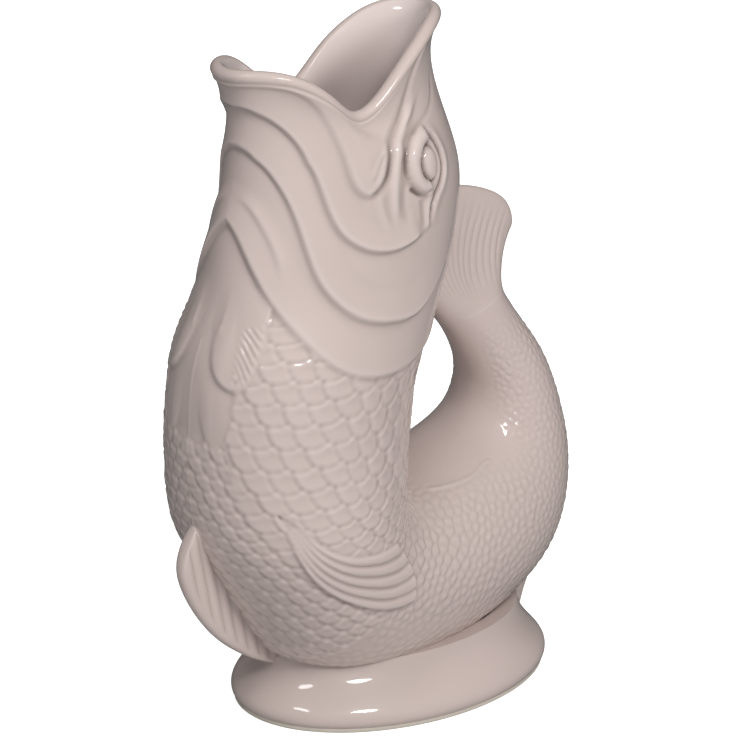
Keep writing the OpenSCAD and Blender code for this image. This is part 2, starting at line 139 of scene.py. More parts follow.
def body_point(u, t, inset=0.0):
    """A point at station u and angle t, 0 on the belly line and 180 on the back line."""
    belly, back = along(belly_line, u), along(back_line, u)
    across = along(half_width, u) - inset
    turn = np.radians(t)
    half = np.linalg.norm(belly - back, axis=-1) / 2
    yz = (belly + back) / 2 + unit(belly - back) * ((half - inset) * np.cos(turn))[..., None]
    x = across * np.sin(turn) * (1 + along(fuller_belly, u) * np.cos(turn))
    return np.concatenate([x[..., None], yz], axis=-1)


round_station_8 = body_point(np.full(9, 8.0), np.linspace(0, 180, 9))
print("station 8 is", round(float(np.ptp(round_station_8[:, 1])), 1), "mm deep")

# %% [markdown]
# ## The mouth
#
# Above the first station the skin flares into the lip. The lip's middle line is a
# closed curve in space: high at the snout, high at the pouring lip, and low at both
# corners of the mouth. From the throat to the lip a Bezier curve leaves the body along
# its own direction and arrives along the lean of the lip, so no seam shows.

# %% Lip line and mouth skin
lip_line = JUG_HEIGHT * np.array([
    (0, -0.284, 0.954), (0.026, -0.28, 0.956), (0.048, -0.263, 0.957), (0.068, -0.237, 0.954),
    (0.084, -0.208, 0.943), (0.092, -0.168, 0.914), (0.082, -0.13, 0.877), (0.088, -0.092, 0.903),
    (0.088, -0.058, 0.941), (0.082, -0.022, 0.97), (0.066, 0.014, 0.993), (0.038, 0.05, 1.003),
    (0, 0.064, 1.002)])
MIRROR = np.array([-1, 1, 1])


def lip_point(t):
    """The middle of the lip's wall at angle t, mirrored for the far side."""
    t = np.mod(t, 360)
    side = np.where(t > 180, 360 - t, t) * (len(lip_line) - 1) / 180
    rows = np.concatenate([lip_line[1:2] * MIRROR, lip_line, lip_line[-2:-1] * MIRROR])
    point = along(rows, side + 1)
    return np.where((t > 180)[..., None], point * MIRROR, point)


def lip_ways(t):
    """Outward and upward directions across the lip, which leans out where it pours."""
    turn = np.radians(t)
    lean = np.radians(12 + np.where(np.cos(turn) > 0, 30, 24) * np.cos(turn) ** 2)[..., None]
    out = unit(np.stack([np.sin(turn) / 0.6, -np.cos(turn), 0 * turn], -1))
    up = np.array([0, 0, 1.0])
    return np.cos(lean) * out - np.sin(lean) * up, np.cos(lean) * up + np.sin(lean) * out


def skin_point(u, t, side=1):
    """The outer skin (side 1) or the inner wall (side -1) at station u and angle t."""
    u, t = np.broadcast_arrays(np.asarray(u, float), np.asarray(t, float))
    inset = 0.0 if side > 0 else WALL
    body = body_point(np.maximum(u, 1), t, inset)
    ones = np.ones_like(u)
    low = body_point(ones, t, inset)
    up = unit(body_point(0.9 * ones, t, inset) - body_point(1.1 * ones, t, inset))
    sideways, rise = lip_ways(t)
    high = lip_point(t) + side * LIP * sideways
    reach = np.linalg.norm(high - low, axis=-1, keepdims=True)
    s = np.clip(1 - u, 0, 1)[..., None]
    mouth = ((1 - s) ** 3 * low + 3 * (1 - s) ** 2 * s * (low + up * 0.4 * reach)
             + 3 * (1 - s) * s * s * (high - rise * 0.3 * reach) + s ** 3 * high)
    return np.where((u < 1)[..., None], mouth, body)


print("tip of the snout:", np.round(lip_point(np.array([180.0]))[0], 1).tolist(), "mm")

# %% [markdown]
# ## One fine grid over the whole fish
#
# The relief on a moulded jug never overhangs, or the plaster could not be pulled away.
# So every fold, scale and ray can be written as a height above the smooth skin. That
# needs a grid fine enough to carry a fold that is 1 mm wide: here the points lie about
# half a millimetre apart. Only the left half is worked out; the right half mirrors it.

# %% Grid
HALF_COLUMNS = 220
columns = np.linspace(0, 180, HALF_COLUMNS + 1)
rows_mouth = np.linspace(0, 1, 63)[:-1]
rows_head = np.linspace(1, NECK, 114)[:-1]
rows_front = np.linspace(NECK, WAIST, 187)[:-1]
rows_bend = np.linspace(WAIST, TAIL_ROOT, 187)[:-1]
rows_tail = np.linspace(TAIL_ROOT, TAIL_TIP, 199)
rows = np.concatenate([rows_mouth, rows_head, rows_front, rows_bend, rows_tail])
U, T = np.meshgrid(rows, columns, indexing="ij")
skin = skin_point(U, T)


def skin_out(u, t, step_u=0.03, step_t=0.5):
    """The direction straight out of the skin."""
    down = skin_point(u + step_u, t) - skin_point(np.maximum(u - step_u, 0), t)
    round_ = skin_point(u, t + step_t) - skin_point(u, t - step_t)
    return unit(np.cross(down, round_))


outward = skin_out(U, T)
steps = np.linalg.norm(np.diff(skin, axis=0), axis=-1)
print("grid of", U.shape, "points, median step", round(float(np.median(steps)), 2), "mm")

# %% [markdown]
# ## Measuring across the skin
#
# A fold is described by the line along its free edge. To shape it, every grid point
# needs its distance from that line, in millimetres, with a sign for the side it is on.
# Distances on the flat table would stretch with the body, so they are taken in space.
# Points too far from the line to matter get a number above any real distance.

# %% Distance from a line drawn on the skin
OUT_OF_REACH = 90.0


def smooth_step(x):
    x = np.clip(x, 0, 1)
    return x * x * (3 - 2 * x)


def drawn_line(table, points=260):
    """A line on the skin from rows of (station, angle), as points in space."""
    spots = along(table, np.linspace(0, len(table) - 1, points))
    return skin_point(spots[:, 0], spots[:, 1])


def measure(table, reach=14.0):
    """Signed distance from the line and the share along it, for every grid point.

    Points to the left of the line, walking along it, count as positive."""
    line = drawn_line(table)
    ways = unit(np.gradient(line, axis=0))
    low, high = line.min(0) - reach, line.max(0) + reach
    near = np.all((skin > low) & (skin < high), axis=-1)
    p, n = skin[near], outward[near]
    square = (p ** 2).sum(1)[:, None] + (line ** 2).sum(1)[None] - 2 * p @ line.T
    k = square.argmin(1)
    gap = p - line[k]
    way = ways[k]
    inner = (k > 0) & (k < len(line) - 1)
    gap = gap - way * ((gap * way).sum(1) * inner)[:, None]
    size = np.linalg.norm(gap, axis=1)
    sign = np.sign((np.cross(way, gap) * n).sum(1))
    distance = np.full(U.shape, OUT_OF_REACH + 9)
    share = np.zeros(U.shape)
    distance[near] = size * np.where(sign == 0, 1, sign)
    share[near] = k / (len(line) - 1)
    return distance, share


def or_else(distance, value):
    """The distance, or value where the line is out of reach."""
    return np.where(np.abs(distance) > OUT_OF_REACH, value, distance)


def ends(share, start=0.12, finish=0.12):
    """Fades a feature in at the start of its line and out at the finish."""
    fade_in = smooth_step(share / start) if start else 1
    fade_out = smooth_step((1 - share) / finish) if finish else 1
    return fade_in * fade_out


# %% [markdown]
# ## Four strokes of the modelling tool
#
# Nearly all of the head can be drawn with four strokes. A fold is a plate that rises
# towards its free edge and steps down there. A groove is a rounded furrow, a ridge is
# the same turned over, and a roll is a rope of clay laid on the skin.

# %% Strokes
def fold(table, height, reach, edge, start=0.12, finish=0.12):
    """A plate on the left of the line, height mm thick at its free edge."""
    d, share = measure(table, reach + 4)
    edge = edge[0] + (edge[1] - edge[0]) * share if isinstance(edge, tuple) else edge
    rise = np.clip(1 - d / reach, 0, 1) ** 1.3
    plate = height * rise * smooth_step(d / edge + 0.35) * ends(share, start, finish)
    return np.where(d < OUT_OF_REACH, plate, 0)


def groove(table, depth, width, start=0.15, finish=0.15):
    d, share = measure(table, 5 * width)
    return -depth * np.exp(-(d / width) ** 2) * ends(share, start, finish)


def ridge(table, height, width, start=0.2, finish=0.2):
    return -groove(table, height, width, start, finish)


def roll(table, height, half, start=0.08, finish=0.08):
    d, share = measure(table, 3 * half)
    rope = np.clip(1 - (d / half) ** 2, 0, 1) ** 0.5
    return height * rope * ends(share, start, finish) ** 0.5


relief = np.zeros(U.shape)
print("relief starts flat, over", relief.size, "points")

# %% [markdown]
# ## Folds of the throat and the gill covers
#
# Each plate of the head overlaps the next one, like roof tiles laid from the mouth
# towards the tail. The lines below are the free edges, as (station, angle) pairs from
# under the chin round to the nape. The edges are soft under the chin, where the glaze
# ran together, and crisp on the flank.

# %% Gill folds
cheek_edge = [
    (0.46, -14), (0.44, -6), (0.41, 4), (0.41, 13), (0.47, 23), (0.56, 32), (0.72, 40),
    (0.95, 45.5), (1.26, 49.5), (1.64, 52.5), (2.05, 56), (2.42, 61), (2.68, 67.5),
    (2.87, 75), (2.98, 83), (3.0, 91), (2.92, 99), (2.8, 106)]
second_edge = [
    (0.9, -14), (0.9, -5), (0.9, 5), (0.96, 14), (1.09, 21), (1.34, 27.5), (1.68, 34), (2.02, 39),
    (2.44, 44), (2.88, 49), (3.3, 54), (3.63, 60), (3.94, 67.5), (4.2, 76), (4.37, 85), (4.46, 95),
    (4.52, 104), (4.47, 112), (4.28, 119), (3.95, 126), (3.55, 133), (3.15, 141)]
throat_edge = [
    (1.86, 2), (1.9, 11), (2.12, 19), (2.42, 26), (2.72, 32), (3.05, 36), (3.4, 39)]
gill_edge = [
    (2.36, -16), (2.33, -8), (2.33, 0), (2.54, 9), (2.92, 17.5), (3.26, 24.5), (3.68, 32.5),
    (4.0, 40), (4.3, 47.5), (4.59, 55), (4.85, 62.5), (5.1, 70), (5.33, 79), (5.46, 88),
    (5.54, 99), (5.55, 110), (5.5, 120), (5.4, 130), (5.2, 141), (4.95, 153), (4.75, 166)]
relief += fold(cheek_edge, 1.7, 11, (2.6, 1.3), 0.02, 0.05)
relief += fold(second_edge, 1.6, 12, (2.4, 1.1), 0.02, 0.2)
relief += fold(throat_edge, 0.8, 7, 2.4, 0.3, 0.3)
relief += fold(gill_edge, 2.1, 15, (3.4, 1.7), 0.02, 0.15)
print("tallest fold so far:", round(float(relief.max()), 2), "mm")

# %% [markdown]
# ## The flap beside the mouth
#
# The upper lip runs down beside the mouth as a flap and ends in a round lobe. A sharp
# furrow parts it from the face, the darkest line on the whole head. Its front edge is
# the other way round: it starts as the underside of the rolled lip and swells.

# %% Flap
flap_front = [
    (0.07, -14), (0.08, 0), (0.07, 18), (0.07, 36), (0.09, 50), (0.16, 59), (0.34, 63),
    (0.58, 63.5), (0.8, 63.5), (1.02, 65), (1.32, 66), (1.6, 68), (1.8, 72), (1.86, 76.5),
    (1.78, 80)]
flap_back = [
    (1.86, 74.5), (1.76, 80), (1.48, 84.5), (1.1, 87.3), (0.84, 89.2), (0.63, 95), (0.47, 105),
    (0.34, 115), (0.22, 125), (0.1, 134), (0.0, 141)]
front_gap, front_share = measure(flap_front, 20)
back_gap = measure(flap_back, 20)[0]
front_gap, behind = or_else(front_gap, -9), or_else(back_gap, 9)
inside_flap = smooth_step(front_gap / 2.6 + 0.3)
swell = 0.75 + 0.75 * smooth_step((front_share - 0.45) / 0.4)
thinner = np.exp(-np.clip(front_gap - 7, 0, None) / 16)
relief += swell * inside_flap * smooth_step(behind + 0.5) * thinner
relief += groove(flap_back, 2.6, 1.05, 0.1, 0.03)
relief += groove([(0.92, 85), (1.12, 82), (1.36, 79.3), (1.56, 76.5)], 0.35, 0.6)
print("flap stands", round(float((swell * inside_flap).max()), 2), "mm above the cheek")

# %% [markdown]
# ## Eye
#
# The eye is a low oval ball in a C-shaped roll of clay, with a thin outer lid behind
# it. Rolls are added on top of the skin, and the furrows between them are cut after,
# because the glaze pools there and the furrow is what the light picks out.

# %% Eye and lids
relief += ridge([(0.36, 127), (0.45, 117.5), (0.55, 108), (0.68, 99), (0.92, 93), (1.3, 90),
                 (1.7, 88), (2.1, 87.5), (2.4, 89), (2.62, 92)], 1.3, 1.9, 0.2, 0.25)
relief += groove([(0.42, 150), (0.5, 145), (0.58, 139), (0.65, 130), (0.68, 118), (0.7, 108),
                  (0.78, 101), (0.9, 97.2), (1.25, 95), (1.66, 93.8), (2.0, 92.6),
                  (2.33, 93.2), (2.6, 96)], 1.1, 1.0, 0.1, 0.2)
relief += groove([(0.62, 105), (0.54, 115), (0.46, 125), (0.42, 133)], 0.35, 0.7)
relief += fold([(2.62, 88.5), (2.37, 84.5), (2.08, 82), (1.83, 81.3), (1.6, 82.5)],
               0.5, 4, 1.4, 0.3, 0.3)
lid_line = [(0.8, 117), (0.83, 111), (0.9, 105), (1.06, 101.3), (1.32, 99.8), (1.6, 100.2),
            (1.82, 103), (1.9, 106.5), (1.85, 110)]
relief = np.maximum(relief, relief * 0.3 + roll(lid_line, 2.5, 2.9, 0.12, 0.1))
outer_lid = [(0.8, 115), (0.85, 118.5), (1.0, 121.5), (1.26, 122.6), (1.58, 122), (1.87, 118.8),
             (2.07, 114.2), (2.26, 110.8), (2.5, 109.5), (2.78, 109.5)]
relief += fold(outer_lid, 1.0, 4.5, 1.0, 0.15, 0.25)
relief += groove(outer_lid, 1.5, 0.8, 0.15, 0.15)
relief += ridge([(1.98, 111), (2.15, 107.6), (2.36, 106.6), (2.6, 107.2), (2.8, 108.2)], 1.0, 1.3)
relief += groove([(2.1, 103), (2.2, 103.2), (2.44, 104), (2.72, 106)], 0.5, 0.8)
relief += groove([(1.78, 96.2), (1.9, 98.5), (2.02, 103), (2.0, 107.5), (1.86, 110.5)], 0.9, 0.8)
EYE_LONG, EYE_WIDE, EYE_HIGH = 6.0, 4.0, 2.3
eye_u, eye_t = np.array([1.35]), np.array([111.0])
eye_middle = skin_point(eye_u, eye_t)[0]
eye_long = unit(skin_point(eye_u + 0.2, eye_t)[0] - skin_point(eye_u - 0.2, eye_t)[0])
eye_up = skin_out(eye_u, eye_t)[0]
eye_wide = np.cross(eye_up, eye_long)
gap = skin - eye_middle
eye_round = np.hypot((gap @ eye_long) / EYE_LONG, (gap @ eye_wide) / EYE_WIDE)
eye_round = np.where(np.abs(gap @ eye_up) < 8, eye_round, 9)
ball = EYE_HIGH * np.clip(1 - eye_round ** 2, 0, 1) ** 0.45
relief = np.where(eye_round < 1, ball - 0.4, relief)
relief -= 0.9 * np.exp(-((eye_round - 1.06) / 0.12) ** 2)
print("eye at", np.round(eye_middle, 1).tolist(), "mm")

# %% [markdown]
# ## Lobes on the breast
#
# Under the gill cover a smooth lobe of the front fin lies on the breast. Its margin is
# combed into short ribs that catch the light one by one. A second, plain lobe lies
# below it, nearer to the belly seam.

# %% Breast lobes
lobe_edge = [(4.45, 7), (4.8, 9), (5.05, 11), (5.26, 14), (5.44, 18.5), (5.54, 24), (5.54, 29),
             (5.42, 33.5), (5.15, 36.5), (4.85, 37.5), (4.5, 37.5), (4.2, 36.5)]
RIBS = 20
lobe_gap, lobe_share = measure(lobe_edge, 16)
lobe_gap = or_else(lobe_gap, -9)
lobe_top = smooth_step((T - 3) / 17) * smooth_step(U - 3.0)
inside_lobe = smooth_step(lobe_gap / 2.8 + 0.3)
comb = 0.62 * np.cos(2 * np.pi * (RIBS * lobe_share - 0.36 * lobe_gap))
comb *= smooth_step((lobe_share - 0.42) / 0.12) * smooth_step((1.0 - lobe_share) / 0.05)
comb *= smooth_step((10 - lobe_gap) / 5) * smooth_step((lobe_gap - 1.0) / 1.5)
lobe = inside_lobe * (1.5 * np.clip(1 - lobe_gap / 26, 0, 1) + comb) * lobe_top
low_edge = [(5.2, 5), (5.75, 5.5), (6.15, 7), (6.45, 10.5), (6.62, 15), (6.62, 19),
            (6.42, 23.5), (6.05, 26.5), (5.72, 27)]
low_gap = or_else(measure(low_edge, 12)[0], -9)
inside_low = smooth_step(low_gap / 2.4 + 0.3)
low_lobe = inside_low * np.clip(1 - low_gap / 26, 0, 1)
low_lobe *= smooth_step((T - 4) / 12) * smooth_step((U - 5.0) / 1.2)
lobe = np.maximum(lobe, low_lobe)
print("lobe on the breast is", round(float(lobe.max()), 2), "mm thick")

# %% [markdown]
# ## Side fin
#
# The fin on the flank is pressed flat against the body. Its rays spring from one root
# and spread as they run back, so a ray keeps its share of the way between the lower
# and the upper edge. That share comes straight from the two measured distances.

# %% Side fin
fin_low = [(7.85, 48), (8.1, 50), (8.62, 52.3), (9.25, 56), (9.72, 62), (10.1, 69.5),
           (10.55, 77.5), (10.93, 84.5), (11.35, 91)]
fin_high = [(7.8, 52), (7.95, 57), (8.3, 62), (8.62, 69), (8.93, 79), (9.12, 89), (9.28, 98),
            (9.36, 107)]
fin_end = [(11.35, 91), (11.18, 99), (10.8, 105), (10.4, 108), (9.9, 109), (9.36, 107)]
low_side, along_fin = measure(fin_low, 30)
low_side = or_else(low_side, -30)
high_side = or_else(-measure(fin_high, 30)[0], -30)
end_side = or_else(measure(fin_end, 30)[0], 30)
in_fin = np.minimum(np.minimum(low_side, high_side), end_side)
from_low, from_high = np.clip(low_side, 0, None), np.clip(high_side, 0, None)
share_up = from_low / (from_low + from_high + 0.01)
RAYS = 5
ray = np.mod(share_up ** 0.92 * RAYS, 1)
pillow = 1 - np.abs(2 * ray - 1) ** 3.5
spread = smooth_step(along_fin / 0.35)
fin_thick = (0.6 + 0.7 * spread) * (1 - 0.45 * share_up) + (0.55 + 0.45 * spread) * pillow
on_fin = smooth_step(in_fin / 0.9 + 0.4)
print("side fin covers", int((in_fin > 0).sum()), "grid points")

# %% [markdown]
# ## Scales
#
# Scales overlap like roof tiles: the row above lies over the row below, and each row is
# shifted by half a scale. For any point it is enough to ask three rows, and three scales
# in each, which one lies on top. A displacement texture could tile the same figure, but
# a rule in the mesh keeps every scale whole.

# %% Scale field
def scales(across, down, wide, long, height, lean=0.2, sag=1.15, soft=0.9, dome=0.15):
    """Heights of overlapping scales. across and down count scales; wide, long in mm.

    Each scale is a rounded plate. lean shifts its lowest point towards the back, so
    that it lies over its neighbour on that side; sag is its length in rows."""
    def plate(k, x, column):
        beyond = np.maximum(down - k, 0) * long
        reach = np.where(x < 0, 0.5 + lean, 0.52 + 1.2 * lean) * wide
        a, b = np.abs(x * wide / reach), beyond / (sag * long)
        r = (a ** 2.3 + b ** 2.3 + 1e-6) ** (1 / 2.3)
        slope = np.hypot(a ** 1.3 / reach, b ** 1.3 / (sag * long))
        inside = (1 - r) * r ** 1.3 / np.maximum(slope, 0.02)
        uneven = 1 + 0.12 * np.sin(5.1 * k + 8.3 * column)
        rise = height * uneven * (1 - 0.6 * np.clip((k + sag - down) / (1 + sag), 0, 1))
        rise = rise * (1 - dome * np.exp(-np.maximum(inside, 0) / soft))
        return inside, rise * (1 - 0.3 * (x + 0.5)), np.clip(b, 0, 1) ** 2

    surface = np.zeros(np.shape(down))
    row = np.floor(down)
    for k in (row + 1, row, row - 1):
        place = across + 0.5 * np.mod(k, 2)
        x = np.mod(place, 1) - 0.5 - lean
        for shift in (1, 0, -1):
            inside, top, low = plate(k, x + shift, np.floor(place) - shift)
            over = smooth_step(inside / soft + 0.5)
            furrow = -0.32 * np.exp(-((inside + 0.35 * soft) / (0.55 * soft)) ** 2)
            bead = 0.26 * low * np.exp(-((inside + 1.8 * soft) / (0.85 * soft)) ** 2)
            surface = surface * (1 - over) + top * over + height * (furrow + bead) * (1 - over)
    return surface


one_scale = scales(np.full(60, 0.5), np.linspace(0, 2, 60), 9.3, 7.5, 1.5)
print("a large scale rises", round(float(np.ptp(one_scale)), 2), "mm out of its furrow")

# %% [markdown]
# ## Pebbles
#
# On the bend the scales are too small and too loose for rows. A lattice bent round it
# would shear into streaks. So seeds are thrown over the skin at random, none closer to
# another than a scale is wide, and every point of the grid joins its nearest seed. The
# border between two seeds is the furrow. The dice always start from the same number, so
# each run gives the same jug.

# %% Pebbles from thrown seeds
DICE = 7


def throw_seeds(spots, apart, tries):
    """Points picked at random from spots, each at least apart mm from all the others."""
    chosen = np.empty((tries, 3))
    count = 0
    for k in np.random.default_rng(DICE).permutation(len(spots))[:tries]:
        away_from = ((chosen[:count] - spots[k]) ** 2).sum(1)
        if count == 0 or away_from.min() > apart[k] ** 2:
            chosen[count] = spots[k]
            count += 1
    return chosen[:count]


def nearest_two(spots, seeds):
    """Distances to the two nearest seeds, and the number of the nearest one."""
    tree = KDTree(len(seeds))
    for k, seed in enumerate(seeds):
        tree.insert(seed, k)
    tree.balance()
    found = [tree.find_n(spot, 2) for spot in spots]
    return (np.array([f[0][2] for f in found]), np.array([f[1][2] for f in found]),
            np.array([f[0][1] for f in found]))


def pebbles(here, apart, tries, height, crease):
    """Small rounded scales: every point belongs to the nearest of many thrown seeds."""
    spots, wanted = skin[here], apart[here]
    seeds = throw_seeds(spots, wanted, tries)
    mine = nearest_two(spots, seeds)[2]
    size = np.bincount(mine, minlength=len(seeds))[:, None]
    middles = np.stack([np.bincount(mine, spots[:, k], len(seeds)) for k in range(3)], -1)
    seeds = np.where(size > 0, (seeds + middles / np.maximum(size, 1)) / 2, seeds)
    first, second, mine = nearest_two(spots, seeds)
    tailward = unit(np.gradient(skin, axis=0))[here]
    lean = ((spots - seeds[mine]) * tailward).sum(1) / wanted
    field = np.zeros(U.shape)
    field[here] = height * (1 + 0.7 * lean) * (1 - np.exp(-((second - first) / crease) ** 2))
    return field


def hand(u, t, seed):
    """A slow wander, as of rows laid by hand."""
    return (np.sin(2.1 * u + 0.11 * t + seed) + np.sin(3.3 * u - 0.07 * t + 2 * seed)
            + np.sin(0.9 * u + 0.19 * t + 3 * seed)) / 3


def soften(field, times=1):
    """A light blur over the grid, so that no cusp is left jagged."""
    for _ in range(times):
        wide = np.pad(field, 1, mode="edge")
        beside = wide[:-2, 1:-1] + wide[2:, 1:-1] + wide[1:-1, :-2] + wide[1:-1, 2:]
        corners = wide[:-2, :-2] + wide[2:, 2:] + wide[:-2, 2:] + wide[2:, :-2]
        field = (wide[1:-1, 1:-1] * 4 + beside * 2 + corners) / 16
    return field


print("the dice start from", DICE)

# %% [markdown]
# The fish wears three sizes. Large scales cover the flanks and middling ones the belly,
# each on a lattice of its own; the pebbles cover the bend and the tail and shrink
# upwards. A mask hands over from one to the next in a millimetre or two, as the
# modeller's tools did. The saddle under the handle gap stays bare.

# %% Three sizes of scale
wander_across, wander_down = hand(U, T, 1.0), hand(U, T, 4.0)
lean_back = 0.2 * (1 - smooth_step((T - 75) / 30))
SCALES_FROM = 5.65  # the station of the first row
BIG_COLUMNS, BIG_ROW = 14.5, 0.39  # scales round one side, and stations per row
MIDDLE_COLUMNS, MIDDLE_ROW = 20.5, 0.285
big = scales(T / (180 / BIG_COLUMNS) + 0.1 * wander_across,
             (U - SCALES_FROM) / BIG_ROW + 0.08 * wander_down,
             9.3, 7.5, 1.5, lean_back, soft=0.75, dome=0.06)
middle = scales(T / (180 / MIDDLE_COLUMNS) + 0.15 * wander_across,
                (U - SCALES_FROM) / MIDDLE_ROW + 0.12 * wander_down,
                6.4, 5.4, 1.4, 0.15, soft=0.8)
THROWS = 22000
apart = along(np.array([3.4, 3.1, 2.8, 2.5, 2.3, 2.2, 2.2]), np.clip((U - 9) / 2, 0, 6))
fine = pebbles(U > 8.9, apart, THROWS, 0.46, 1.2) * (1 - 0.3 * smooth_step(U - 15.5))
big_from = along(np.array([22, 22, 23, 24.5, 27, 31, 38, 47, 52, 56, 62]),
                 np.clip((U - 5.5) / 0.45, 0, 10))
take_big = smooth_step((T - big_from) / 2.5 + 0.5) * smooth_step((9.35 - U) / 0.2 + 0.5)
fine_from = along(np.array([10.9, 10.9, 10.95, 11.0, 10.9, 10.2, 9.5, 9.4, 9.4, 9.4]), T / 20)
take_fine = smooth_step((U - fine_from) / 0.25 + 0.5)
tile = big * take_big + middle * (1 - take_big)
tile = tile * (1 - take_fine) + fine * take_fine
bare_from = along(np.array([186, 184, 176, 158, 145, 138, 132, 117, 134, 146, 145, 126, 120]),
                  np.clip(U - 9, 0, 12))
past_border = T - bare_from
bare = 0.86 * smooth_step(past_border / 26.0 + 0.7) + 0.14 * smooth_step(past_border / 45)
bare = np.maximum(bare, smooth_step((U - 20.2) / 0.7))
gill_gap = or_else(measure(gill_edge, 20)[0], np.where(U < 4.5, 9, -9))
covered = smooth_step(gill_gap / 1.2 + 0.6)
print("fine scales from station", round(float(fine_from.min()), 1), "on")

# %% [markdown]
# What lies on top hides what lies below: the scales stop at the belly seam, the bare
# saddle, the gill cover and the lobes, and the side fin covers what it lies on. A
# narrow seam of the mould runs down the belly, and a crease crosses the saddle.

# %% All the relief together
tile = tile * (1 - smooth_step((13 - T) / 4) * smooth_step((6.8 - U) / 0.45))
tile = tile * (1 - bare) * (1 - covered)
tile = tile * (1 - smooth_step((inside_lobe * lobe_top + inside_low) * 1.2))
relief += soften(tile) * smooth_step(U - 3.4)
relief = relief * (1 - on_fin) + fin_thick * on_fin
relief += lobe * (1 - covered)
relief += 0.18 * np.exp(-(skin[..., 0] / 0.45) ** 2) * (U > 4.6) * (U < 8.3) * (T < 90)
crease = [(15.4, 134), (15.0, 139), (14.4, 137.5), (13.7, 140), (12.7, 147.5), (12.0, 153),
          (11.5, 158)]
relief += ridge(crease, 0.85, 0.65, 0.2, 0.4)
relief += groove([(u - 0.14, t) for u, t in crease], 0.35, 0.8, 0.2, 0.4)
relief = soften(relief) * smooth_step(U / 0.06)
print("relief from", round(float(relief.min()), 2), "to", round(float(relief.max()), 2), "mm")

# %% [markdown]
# ## Where the glaze gathers
#
# Molten glaze runs off the ridges and gathers in the furrows, where it is thicker and
# darker. The furrows also get painted shade: their colour is darkened for the shade
# that falls in them. A point that lies below its blurred surroundings is in a furrow, and
# how far it lies below says how much has gathered and how much shade is painted. The
# number is kept on the points of the mesh and the glaze reads it, so it holds from every side.

# %% Gathered glaze and painted furrow shade
def pooled_and_shaded(field):
    """How far a point lies below its surroundings: glaze gathers there, and shade is painted there.
    """
    low = soften(field, 10) - field
    return np.clip(low / 0.3, -1, 1) + np.clip((low - 0.38) / 0.13, 0, 2)


print("deepest pool:", round(float(pooled_and_shaded(relief).max()), 1))

# %% [markdown]
# ## From heights to a surface
#
# Now the left half is pushed out along its own directions, mirrored, and joined with
# the rolled lip and the inner wall into one long grid: up the outside, over the lip
# and down the inside. The fan of the tail joins it as more rows past the tail's tip, and
# a short blur there makes the fillet of the joint. Shading directions are taken from
# the whole grid, so the pieces cut from it later meet without a visible seam.

# %% Whole grid
def both_sides(half):
    """Adds the mirrored right half to rows of left half points."""
    whole = half.copy()
    whole[:, [0, -1], 0] = 0
    return np.concatenate([whole, whole[:, -2:0:-1] * MIRROR], axis=1)


FAN_ROWS, FAN_RAYS, FAN_THICK = 110, 13, 5.4
fan_outer = JUG_HEIGHT * np.array([
    (0.195, 0.57), (0.199, 0.60), (0.209, 0.632), (0.227, 0.657), (0.242, 0.675)])
fan_inner = JUG_HEIGHT * np.array([
    (0.095, 0.525), (0.05, 0.57), (0.05, 0.63), (0.07, 0.695), (0.09, 0.735)])
TIP_WIDTH = 2 * float(along(half_width, np.array(float(TAIL_TIP))))


def fan_grid():
    """Rings from the tip of the tail to the free edge of the fan, left half."""
    s = np.sin(np.pi / 2 * np.arange(1, FAN_ROWS + 1) / FAN_ROWS)[:, None]
    w = np.cos(np.radians(columns))[None]
    place = 4 * s * (1 - 0.3 * s ** 3 * np.clip(w, 0, 1) ** 4)
    v, b = along(fan_outer, place), along(fan_inner, place)
    side = unit(np.stack([b[..., 1] - v[..., 1], v[..., 0] - b[..., 0]], -1))
    plain = (FAN_THICK + (TIP_WIDTH - FAN_THICK) * (1 - s) ** 2) / 2
    strong = smooth_step((s - 0.1) / 0.25) * (1 - 0.9 * smooth_step((s - 0.62) / 0.3))
    strong = strong * (1 - smooth_step((w - 0.6) / 0.25))
    spoke = (w + 0.1) / np.where(w < -0.1, s + 0.35, 1.15 - 0.15 * s)
    rays = 0.34 * strong * (np.abs(np.cos(np.pi * FAN_RAYS * spoke / 2)) ** 0.8 - 0.6)
    power = 2 + 3 * np.minimum(1, 2 * s)
    end = np.maximum(0, 1 - s ** 14) ** 0.5
    x = (plain + rays) * (1 - np.abs(w) ** power) ** 0.5 * np.maximum(end, 0.02)
    bulge = 0.014 * JUG_HEIGHT * s ** 2 * (1 - w ** 2)
    yz = (v + b) / 2 + (v - b) / 2 * w[..., None] + side * bulge[..., None]
    return np.concatenate([x[..., None], yz], -1)


FILLET_ROWS, FILLET_PASSES = 40, 90
fan = fan_grid()
skin_rows = np.concatenate([skin + outward * relief[..., None], fan])
fan_middle = 1 - np.abs(np.cos(np.radians(columns))) ** 6
# gathered glaze and painted shade in the furrows, weaker over the pebbles; the fan's rays get the
# same
skin_pool_and_shade = np.concatenate([
    pooled_and_shaded(relief) * (1 - 0.55 * take_fine), pooled_and_shaded(fan[..., 0]) * fan_middle])
near_root = np.arange(len(skin_rows)) - len(rows) + 0.5
mix = smooth_step(1 - np.abs(near_root) / FILLET_ROWS)[1:-1, None, None]
for _ in range(FILLET_PASSES):
    between = (skin_rows[:-2] + skin_rows[2:]) / 2
    skin_rows[1:-1] += 0.5 * mix * (between - skin_rows[1:-1])
outer = both_sides(skin_rows)[::-1]
print("the fan adds", FAN_ROWS, "rows to the", len(rows), "of the skin")

